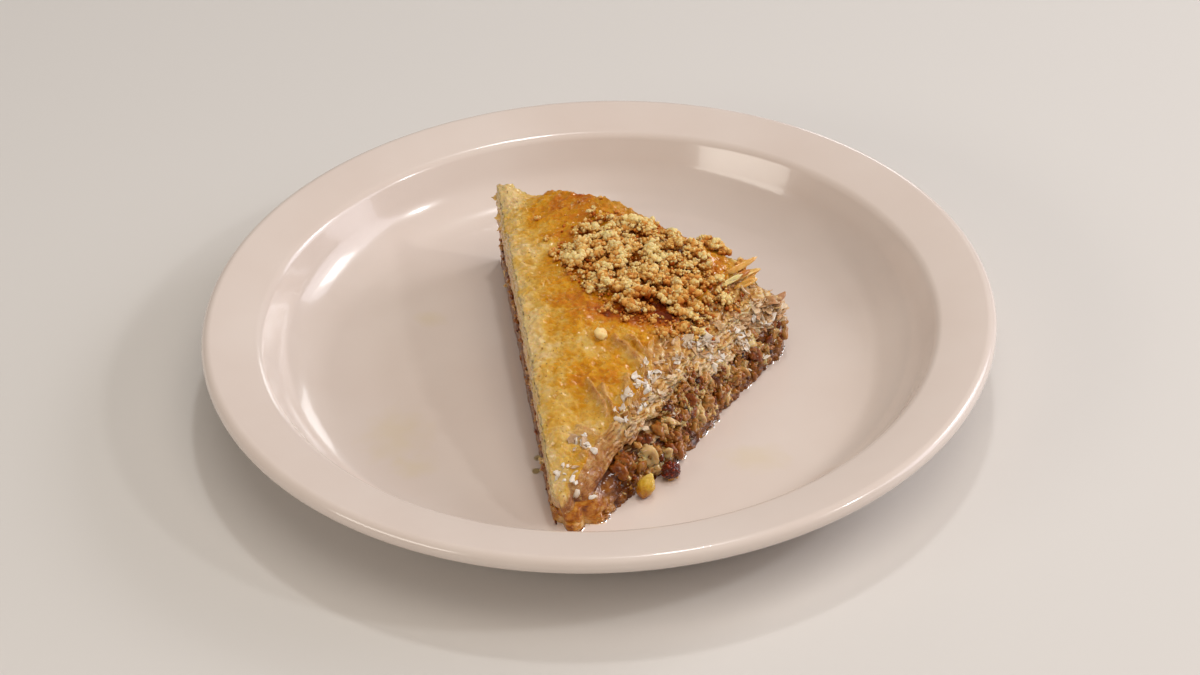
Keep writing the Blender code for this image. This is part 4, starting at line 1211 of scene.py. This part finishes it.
HEAP_CENTRE = Vector((12.3, 8.5)) * MM
HEAP_TURN = math.radians(-67.5)
HEAP_HALF_LENGTH = 26 * MM
HEAP_HALF_WIDTH = 20 * MM
HEAP_EDGE = 0.2 * MM
HEAP_HEIGHT = 2.5 * MM
HEAP_FROM_BACK = 3.4 * MM
HEAP_FROM_BACK_LEFT = 5.5 * MM  # where the golden ridge shows, left of RIDGE_ENDS
RIDGE_ENDS = 12 * MM
TINY_BALL = ball(1)
CEILING = solid_bounds[1][2] - 0.1 * MM
NUGGETS = 470
LOOSE_GRAINS = 3000
SHADED_HOLLOW = Vector((14.5, -8.5)) * MM  # the crumbs here are painted darker, as shade in the hollow
HOLLOW_REACH = 8 * MM
# Places with no crumbs: X, Y, radius. The first two are bare crust at the back, the others gaps.
BARE = (
    (28.0, 8.5, 4.0),
    (34.0, 5.4, 5.5),
    (14.5, -12.0, 2.6),
    (8.0, 2.5, 1.5),
    (1.5, 17.5, 1.5),
    (-3.0, 29.5, 4.5),
    (-8.5, 23.0, 4.0),
    (-5.0, 22.0, 3.8),
    (-7.8, 16.0, 3.0),
    (28.9, -8.8, 3.4),
    (27.6, -12.4, 2.8),
)
# Nuggets that stand apart from the heap, or on its back edge: X, Y, radius, height over the crust
STRAYS = (
    (-10.0, 10.0, 1.2, 0.5),
    (-9.0, 6.5, 1.0, 0.5),
    (-6.3, 9.0, 1.3, 0.6),
    (-11.5, 15.5, 0.7, 0.3),
    (-13.5, 24.0, 0.8, 0.3),
    (1.0, -6.0, 1.1, 0.5),
    (1.0, -13.0, 1.0, 0.4),
    (14.0, -18.0, 1.5, 0.6),
    (17.0, -16.5, 1.1, 0.4),
    (6.0, -15.5, 1.0, 0.4),
    (25.0, 13.0, 1.6, 0.8),
    (27.7, 12.0, 2.0, 1.3),
    (26.5, 12.7, 1.3, 2.6),
    (29.9, 10.6, 1.5, 0.8),
    (33.6, 8.7, 1.8, 1.2),
    (36.0, 7.4, 1.1, 0.6),
)
LONE_CRUMB = (0.4, -21.0, 1.75, 1.1)


def heap_place(out, turned):
    """A place in plan: out is 0 at the middle of the heap and 1 on its outline."""
    length = out * HEAP_HALF_LENGTH * math.cos(turned)
    width = out * HEAP_HALF_WIDTH * math.sin(turned)
    ways = Vector((math.cos(HEAP_TURN), math.sin(HEAP_TURN)))
    return HEAP_CENTRE + ways * length + Vector((-ways.y, ways.x)) * width


def crumb_tone(point, least, most, rng):
    """A chance tone between two, darker in the hollow at the heap's front as painted shade."""
    out = (point - SHADED_HOLLOW).length / HOLLOW_REACH
    return rng.uniform(least, most) - 0.15 * math.exp(-out * out)


def is_bare(point, radius):
    from_back = (BACK_LEFT - point).dot(BACK_OUT)
    if from_back < (HEAP_FROM_BACK_LEFT if point.x < RIDGE_ENDS else HEAP_FROM_BACK) + 0.5 * radius:
        return True
    return any((point - Vector((x, y)) * MM).length < reach * MM + 0.3 * radius for x, y, reach in BARE)


def add_grain(heap, centre, radius, tone, rng):
    """A grain of nut flesh, uneven all over. Its top is painted lighter and its under side darker, as painted light
    and shade.
    """
    directions, faces = TINY_BALL if radius < 0.42 * MM else SMALL_BALL
    stretch = Vector([rng.uniform(0.7, 1.35) for _ in range(3)])
    seed = Vector([rng.uniform(-50, 50) for _ in range(3)])
    points = []
    tones = []
    for direction in directions:
        out = radius * (1 + 0.75 * noise.noise(direction * 1.7 + seed))
        points.append(centre + Vector([out * d * s for d, s in zip(direction, stretch)]))
        tones.append(tone + 0.16 * direction.z + 0.2 * noise.noise(direction * 2.5 - seed))
    heap.add(points, faces, tone=tones)


def add_nugget(heap, centre, radius, tone, rng):
    """A crumb of ground walnut: a rough core with grains of flesh stuck all over its upper side."""
    centre.z = min(centre.z, CEILING - 1.5 * radius)
    # The core is toned darker, as painted shade between the grains on it.
    add_grain(heap, centre, radius * 0.7, tone - 0.2, rng)
    lobes = round(6 + 7 * radius / MM)
    long = Vector((rng.uniform(0.7, 1.5), rng.uniform(0.7, 1.5)))
    for number in range(lobes):
        way = random_way(rng)
        way.z = 0.8 * abs(way.z) - 0.1
        size = max(0.28 * MM, radius * rng.uniform(0.2, 0.44))
        lobe_tone = tone + rng.uniform(-0.14, 0.14)
        if rng.random() < 0.05:
            lobe_tone = 0.0
            size = 0.25 * MM
        out = Vector((way.x * long.x, way.y * long.y, way.z)) * radius * rng.uniform(0.6, 0.95)
        add_grain(heap, centre + out, size, lobe_tone, rng)


rng = random.Random(5)
crust_surface = surface_of((crust,))
nuggets = Heap()
grains = Heap()
for number in range(NUGGETS):
    out = math.sqrt((number + 0.5) / NUGGETS) * 0.98 + rng.uniform(-0.04, 0.04)
    point = heap_place(out, number * math.radians(137.508))
    point += Vector((rng.gauss(0, 0.5), rng.gauss(0, 0.5))) * MM
    radius = (0.65 + 1.25 * rng.random() ** 1.8) * MM
    hit, normal = over(crust_surface, point.x, point.y)
    if hit is None or is_bare(point, radius) or (out > 0.8 and grain(point, 5 * MM, 21.0) > 0.15):
        continue
    thick = HEAP_EDGE + HEAP_HEIGHT * max(0.0, 1 - out * out) ** 0.7
    height = hit.z + thick * rng.uniform(0.3, 1.0) + 0.45 * radius
    add_nugget(nuggets, Vector((point.x, point.y, height)), radius, crumb_tone(point, 0.42, 0.78, rng), rng)
for x, y, size, rise in STRAYS:
    hit, normal = over(crust_surface, x * MM, y * MM)
    add_nugget(nuggets, hit + Vector((0, 0, rise * MM)), size * MM, rng.uniform(0.42, 0.64), rng)
hit, normal = over(crust_surface, LONE_CRUMB[0] * MM, LONE_CRUMB[1] * MM)
lone_centre = hit + Vector((0, 0, LONE_CRUMB[3] * MM))
add_nut(nuggets, LARGE_BALL, lone_centre, LONE_CRUMB[2] * MM, 0.8, rng, rough=0.2, long=1.0, sides=0)
for number in range(LOOSE_GRAINS):
    out = math.sqrt(rng.random()) * 1.03
    point = heap_place(out, rng.uniform(0, math.tau))
    hit, normal = over(crust_surface, point.x, point.y)
    radius = (0.22 + 0.35 * rng.random() ** 2) * MM
    bare = is_bare(point, 0)
    if hit is None or bare and rng.random() > 0.12:
        continue
    thick = 0 if bare or out > 1 else HEAP_EDGE + HEAP_HEIGHT * (1 - out * out) ** 0.7
    centre = Vector((point.x, point.y, hit.z + thick * rng.uniform(0.0, 0.7) + 0.4 * radius))
    centre.z = min(centre.z, CEILING - 2 * radius)
    # The grains take darker tones than the nuggets, partly their soaked colour and partly painted shade between and
    # under the nuggets.
    add_grain(grains, centre, radius, crumb_tone(point, 0.05, 0.6, rng), rng)
crumb_stops = ((0.1, "6A2002"), (0.35, "AE5210"), (0.58, "CE8638"), (0.78, "E0A858"), (1.0, "F2D694"))
crumb_finish = chopped_walnut("ground walnuts, dry", crumb_stops, 0.1, 0.25, 0.6 * MM)
walnut_nuggets = nuggets.piece("walnut_nuggets", crumb_finish)
walnut_grains = grains.piece("walnut_grains", crumb_finish)
for piece in (walnut_nuggets, walnut_grains):
    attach(piece, "root")
    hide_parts("walnut_crumbs")

# Loose nuts
# Two pieces of walnut that have dropped from the filling onto the plate: one pale, swollen with syrup and drawn
# out to a point, and one roasted dark and wrinkled, with its foot in a drop of syrup.

VERY_FINE_BALL = ball(5)


def loose_nut(name, node, half, turned, reach, narrow, wrinkle, tones_at):
    """A nut where its solid lies. half is its half sizes, reach how far its middle is over the plate, narrow
    how much thinner its top is, and wrinkle how deep its creases are against its size."""
    low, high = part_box(node)
    centre = (low + high) / 2
    centre.z = WELL_FLOOR + 0.98 * reach * MM
    spin = turned.to_matrix()
    points = []
    tones = []
    for direction in VERY_FINE_BALL[0]:
        axis = spin.inverted() @ direction
        slim = 1 - narrow * max(0.0, axis.z) ** 1.5
        crease = abs(noise.noise(axis * 2.6 + centre / MM))
        fine = noise.noise(axis * 7 + centre / MM)
        wave = 0.98 + wrinkle * (crease - 0.5) + 0.02 * fine
        out = spin @ Vector((axis.x * slim * half.x, axis.y * slim * half.y, axis.z * half.z))
        points.append(centre + out * wave)
        tones.append(tones_at(axis, direction, crease))
    nut = Heap()
    nut.add(points, VERY_FINE_BALL[1], tone=tones)
    piece = nut.piece(name, loose_finish)
    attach(piece, "root")
    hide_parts(node)


loose_stops = ((0.15, "4A0E02"), (0.35, "842C0A"), (0.55, "AE7008"), (0.75, "CEA42C"), (1.0, "E6CA74"))
loose_finish = chopped_walnut("walnut soaked in syrup", loose_stops, 1.0, 0.35, 0.9 * MM)
loose_nut(
    "amber_walnut",
    "loose_walnut",
    Vector((2.1, 2.0, 3.3)) * MM,
    Euler((-0.25, 0.42, 0)),
    3.0,
    0.62,
    0.14,
    # Its top is painted lighter, as a painted highlight.
    lambda axis, direction, crease: 0.5 + 0.26 * axis.z,
)
loose_nut(
    "dark_walnut",
    "dark_nut",
    Vector((2.5, 2.2, 2.3)) * MM,
    Euler((0.2, 0.1, 0.6)),
    2.2,
    0.1,
    0.34,
    lambda axis, direction, crease: 0.42 if direction.z < -0.55 else -0.1 + 0.38 * crease,
)

# Syrup
# Sugar and honey syrup, clear and pale amber. It has run out at the foot of the cut faces and stands there as a
# low bead against the pastry, widest at the crumbled face and the tip. Two drops lie beside the closed face.

SYRUP_STEPS = 7
SYRUP_INSIDE = 0.7 * MM
SYRUP_HEIGHT = 0.34 * MM
SYRUP_SUNK = 0.08 * MM  # it reaches into the glaze, so that no air gap shows between them
SYRUP_WIDTH = (1.3 * MM, 0.2 * MM, 0.3 * MM, 1.4 * MM)  # crumbled face, back, closed face, tip

SYRUP_DROPS = ((-14.9, -36.6, 0.85, 0.7), (-15.3, -41.2, 0.95, 0.55))  # X, Y, half width, height, in millimetres


def clear_syrup(name, deep, thin):
    """Thick clear syrup: light goes through it with a faint tint, and its smooth skin glints."""
    material, tree, shader = new_finish(name)
    place = add_node(tree, "TexCoord", {}).outputs["Object"]
    drift = add_node(tree, "TexNoise", {"Vector": place, "Scale": 1 / (6 * MM), "Detail": 2})
    colour = add_node(tree, "ValToRGB", {0: drift}, stops=((0.3, deep), (0.7, thin)))
    ripple = add_node(tree, "TexNoise", {"Vector": place, "Scale": 1 / (2.5 * MM), "Detail": 1})
    bump = add_node(tree, "Bump", {"Height": ripple, "Strength": 0.3, "Distance": 0.1 * MM})
    connect(tree, shader, {"Base Color": colour, "Roughness": 0.02, "IOR": 1.47, "Transmission Weight": 1.0})
    connect(tree, shader, {"Normal": bump})
    return material


foot_places = stations(BASE_STEP)
verts = []
faces = []
count = len(foot_ring)
for number, foot in enumerate(foot_ring):
    run = foot_ring[(number + 8) % count] - foot_ring[number - 8]
    way = Vector((run.y, -run.x, 0)).normalized()
    side = foot_places[number][2]
    blend = min(1.0, foot_places[number][4] / (4 * MM))
    width = SYRUP_WIDTH[side] * blend + 0.5 * MM * (1 - blend)
    width *= max(0.02, min(1.0, 0.2 + 2.2 * grain(foot.xy, 9 * MM, 31.0)))
    for step in range(SYRUP_STEPS):
        share = step / (SYRUP_STEPS - 1)
        out = -SYRUP_INSIDE + (width + SYRUP_INSIDE) * share
        rise = SYRUP_HEIGHT * (width / MM) ** 0.5 * math.sqrt(max(0.0, 1 - share * share))
        verts.append(Vector((*(foot.xy + way.xy * out), WELL_FLOOR - SYRUP_SUNK + rise)))
    verts.append(Vector((*(foot.xy - way.xy * SYRUP_INSIDE), WELL_FLOOR - SYRUP_SUNK)))
across = SYRUP_STEPS + 1
for number in range(count):
    row, after = number * across, (number + 1) % count * across
    for step in range(across):
        beside = (step + 1) % across
        faces.append((row + step, after + step, after + beside, row + beside))
syrup_finish = clear_syrup("clear amber syrup", "F2DCB0", "FAF0DC")
syrup_bead = add_piece("syrup_bead", verts, faces, syrup_finish)

drops = Heap()
for x, y, width, height in SYRUP_DROPS:
    centre = Vector((x, y, WELL_FLOOR / MM)) * MM
    points = []
    for direction in LARGE_BALL[0]:
        out = 1 + 0.25 * noise.noise(direction * 1.5 + centre / MM)
        rise = direction.z * height if direction.z > 0 else 0.1 * direction.z
        points.append(centre + Vector((direction.x * width * out, direction.y * width * out, rise)) * MM)
    drops.add(points, LARGE_BALL[1])
syrup_drops = drops.piece("syrup_drops", clear_syrup("clear yellow syrup", "EEE09C", "F6ECBC"))
for piece in (syrup_bead, syrup_drops):
    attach(piece, "root")

# Studio
# A plain pale floor under soft light: a large window on the right with one bright pane, which show in the
# glaze, a lamp far off on the left and a warm light overhead. Small lamps at the ceiling, low behind the plate
# and on the right give the wet food its glints. The camera looks down at 36 degrees.

floor_mesh = bpy.data.meshes.new("floor")
half = 3.0
floor_mesh.from_pydata([(-half, -half, 0), (half, -half, 0), (half, half, 0), (-half, half, 0)], [], [(0, 1, 2, 3)])
floor = bpy.data.objects.new("floor", floor_mesh)
bpy.context.scene.collection.objects.link(floor)
floor_finish, floor_tree, floor_shader = new_finish("pale matt board")
connect(floor_tree, floor_shader, {"Base Color": linear("D9D6D2"), "Roughness": 0.8})
floor_mesh.materials.append(floor_finish)

AIM = Vector((0, 0, 12 * MM))
# Lamp name, degrees from +Y towards +X, degrees up, distance, size across and up, brightness, colour, shows in
# gloss. Brightness is against a white surface in this light.
LAMPS = (
    ("window", 76, 24, 1.2, (0.95, 0.60), 2.8, "F6F4FF", True),
    ("pane", 66, 30, 1.1, (0.28, 0.22), 8, "FFFFFF", True),
    ("far_lamp", -124, 25, 0.9, (0.50, 0.20), 5.0, "FFF8EE", True),
    ("ceiling_lamp", 20, 72, 1.2, (0.09, 0.09), 75, "FFFFFF", True),
    ("low_lamp", 16, 13, 1.2, (0.20, 0.30), 3, "FFFFFF", True),
    ("side_lamp", 106, 40, 1.1, (0.08, 0.08), 70, "FFFFFF", True),
    ("overhead", 150, 68, 1.1, (0.9, 0.7), 2.55, "FFF2E6", False),
)
for name, azimuth, elevation, distance, size, brightness, colour, in_gloss in LAMPS:
    light = bpy.data.lights.new(name, "AREA")
    light.shape = "RECTANGLE"
    light.size, light.size_y = size
    light.energy = brightness * math.pi * size[0] * size[1]
    light.color = linear(colour)[:3]
    lamp = bpy.data.objects.new(name, light)
    flat = math.cos(math.radians(elevation))
    turned = math.radians(azimuth)
    way = Vector((flat * math.sin(turned), flat * math.cos(turned), math.sin(math.radians(elevation))))
    lamp.location = AIM + way * distance
    lamp.rotation_euler = way.to_track_quat("Z", "Y").to_euler()
    lamp.visible_glossy = in_gloss
    bpy.context.scene.collection.objects.link(lamp)

sky = bpy.data.worlds.new("soft room light")
sky.use_nodes = True
background = sky.node_tree.nodes["Background"]
connect(sky.node_tree, background, {"Color": linear("FFF6EC"), "Strength": 0.22})
bpy.context.scene.world = sky
bpy.context.scene.view_settings.view_transform = "Standard"

CAMERA_PLACE = Vector((0.2035, -567.296, 424.030)) * MM
CAMERA_RIGHT = Vector((0.99920, -0.02356, -0.03242))
CAMERA_UP = Vector((0.04008, 0.58735, 0.80834))
lens = bpy.data.cameras.new("camera")
lens.lens = 90
lens.sensor_width = 36
camera = bpy.data.objects.new("camera", lens)
turned = Matrix((CAMERA_RIGHT, CAMERA_UP, CAMERA_RIGHT.cross(CAMERA_UP))).transposed()
camera.matrix_world = Matrix.Translation(CAMERA_PLACE) @ turned.to_4x4()
bpy.context.scene.collection.objects.link(camera)
bpy.context.scene.camera = camera
